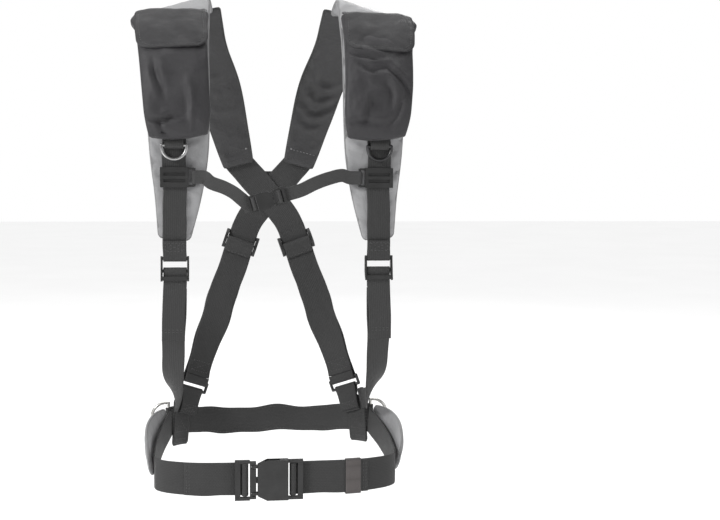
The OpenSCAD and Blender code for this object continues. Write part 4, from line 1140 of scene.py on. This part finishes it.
def buckle_bar(t, k, end):
    return end * k + 0.4 + 1.6 * k + t + 2 * FIT + 1.4 * k


def front_belts():
    for name, s, tail_to in (("left", 1, 3.2), ("right", -1, 3.1)):
        last = len(BELT) - 1
        main = [list(station(BELT, last * i / 16)[0]) for i in range(17)]
        bar = s * BELT_MIDDLE + buckle_bar(WEB_T, BELT_K, 20 if s > 0 else 29)
        turned = [[p[0], BELT_Y + p[1], WAIST_Z] for p in buckle_turn(bar, 1, WEB_T, BELT_K)]
        tail = [list(station(BELT, last - (last - tail_to) * i / 6, -LAYER)[0]) for i in range(7)]
        b = Band(smoothed([[*p, BELT_W, 0, 0, 1] for p in main + turned + tail]))
        n = b.length
        web = webbing(b, WEB_T, lines_across(17, n - 3, n - 6.5, 3, 12), (1, -1), 0.3)
        o = place(web, "web_belt_" + name, "front_belt_" + name, s < 0, mats=BELT_MATERIALS,
                  body="harness" if s > 0 else None)
        if s < 0:
            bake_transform(o)


front_belts()


def belt_keeper():
    b = sweep(BELT, 3.62, 4.33, 1.5, -LAYER / 2)
    thick, high, wall = 2 * WEB_T + SEAM + 1, BELT_W + 1.2, 1.2
    shape = Shape()
    def loop(w, t, r):
        pts = []
        for cx, cy, a0 in ((1, 1, 0), (-1, 1, 1), (-1, -1, 2), (1, -1, 3)):
            for i in range(5):
                a = (a0 + i / 4) * math.pi / 2
                pts.append((cx * (w / 2 - r) + r * math.cos(a), cy * (t / 2 - r) + r * math.sin(a)))
        return np.array(pts)
    outer, inner = loop(high + 2 * wall, thick + 2 * wall, 1.6), loop(high, thick, 0.8)
    def rings(l):
        return b.P[:, None] + b.S[:, None] * l[None, :, :1] + b.O[:, None] * l[None, :, 1:]
    ro, ri = rings(outer), rings(inner)
    walls = np.concatenate([ro, ri[::-1]])
    uv = np.stack([np.repeat(np.linspace(0, 60, len(outer))[None], len(walls), 0),
                   np.repeat(np.r_[b.L, b.L[::-1]][:, None], len(outer), 1)], -1)
    shape.tube(walls, 0, uv, closed=True, caps=False)
    o = shape.make("keeper_belt", [ELASTIC], False)
    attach(o, "harness")
    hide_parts("belt_keeper")


belt_keeper()


def sternum_webs():
    c, s = math.cos(STERNUM_LEAN), math.sin(STERNUM_LEAN)
    f = [STERNUM_AT, np.array([-c, 0, -s]), np.array([0, 1.0, 0]), np.array([s, 0, -c])]
    r = 1.6 + FIT + THIN_T / 2
    for name, side in (("left", 1), ("right", -1)):
        x, y, z, w = side * (STRAP_X - 23.5), STRAP_Y - 1.5, -216, STERNUM_W
        ends = [(x - side * 13, y - r + THIN_T + 0.4), (x - side * 8, y + 0.6), (x - side * 3, y + r)] \
            + [(x + side * q[2], y + q[1]) for q in fold(r)] \
            + [(x - side * 4, y - r), (x - side * 12, y - r - 0.4)]
        middle = [(78, -112, -213, 0.4), (62, -114, -216.5, 0.8), (44, -115, -223, 1),
                  (28, -115, -230.5, 1)] if side > 0 else [
                      (-80, -112, -222, 0.6), (-64, -114, -228, 0.8), (-52, -115, -234.5, 1),
                      (-44, -115.4, -241, 1)]
        bar = -buckle_bar(THIN_T, STERNUM_K, 29) if side > 0 else buckle_bar(THIN_T, STERNUM_K, 20)
        turned = buckle_turn(bar, -side, THIN_T, STERNUM_K)
        first = np.array(turned[0])
        lean = lambda q: [-s * q, 0, math.cos(STERNUM_LEAN * q)]
        rows = [[p[0], p[1], z, w, 0, 0, 1] for p in ends] + [[*m[:3], w, *lean(m[3])] for m in middle] \
            + rows_in(f, turned[::-1] + [list(first - [side * 8, -0.1, 0])], w, lean(1))
        b = Band(smoothed(rows, 1.1))
        web = webbing(b, THIN_T, lines_across(6, 2, 5, b.length - 2), (1, -1), 0.1, length=2.2)
        o = place(web, "web_sternum_" + name, "sternum_strap_" + name, False, mats=[WEB_FINE, THREAD_DARK],
                  body="sternum_strap" if side < 0 else None)
        if side > 0:
            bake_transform(o)


sternum_webs()


# ---- hardware: the CAD pieces, with softened edges and their finishes --------------------------

def finish_node(name, material, bevel=0.0):
    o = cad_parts[name]
    o.data.materials.clear()
    o.data.materials.append(material)
    if bevel:
        weld = o.modifiers.new("weld", "WELD")
        weld.merge_threshold = 0.00002
        m = o.modifiers.new("edges", "BEVEL")
        m.width, m.segments, m.limit_method, m.angle_limit = bevel * MM, 3, "ANGLE", math.radians(35)
        m.use_clamp_overlap, m.harden_normals = True, False
    for p in o.data.polygons:
        p.use_smooth = True
    o.modifiers.new("shade", "WEIGHTED_NORMAL").keep_sharp = True


for side in ("left", "right"):
    # The shoulder rings are one part in two steels: the right one pale, a painted highlight; the left one
    # dark, a painted shade.
    finish_node("shoulder_ring_" + side, DARK_STEEL if side == "left" else PALE_STEEL_PAINTED_HIGHLIGHT)
    finish_node("hip_ring_" + side, BRIGHT_STEEL)
    finish_node("cross_ring_" + side, DARK_STEEL)
    for piece, bevel in (("strap_adjuster_", 0.45), ("cross_slider_", 0.45), ("sternum_slider_", 0.4)):
        finish_node(piece + side, PLASTIC, bevel)
for buckle, pieces, bevel in (("waist_", ("socket", "plug", "prong_upper", "prong_lower"), 0.5),
                              ("sternum_", ("socket", "plug", "prongs"), 0.25)):
    for piece in pieces:
        finish_node(buckle + piece, PLASTIC, bevel)
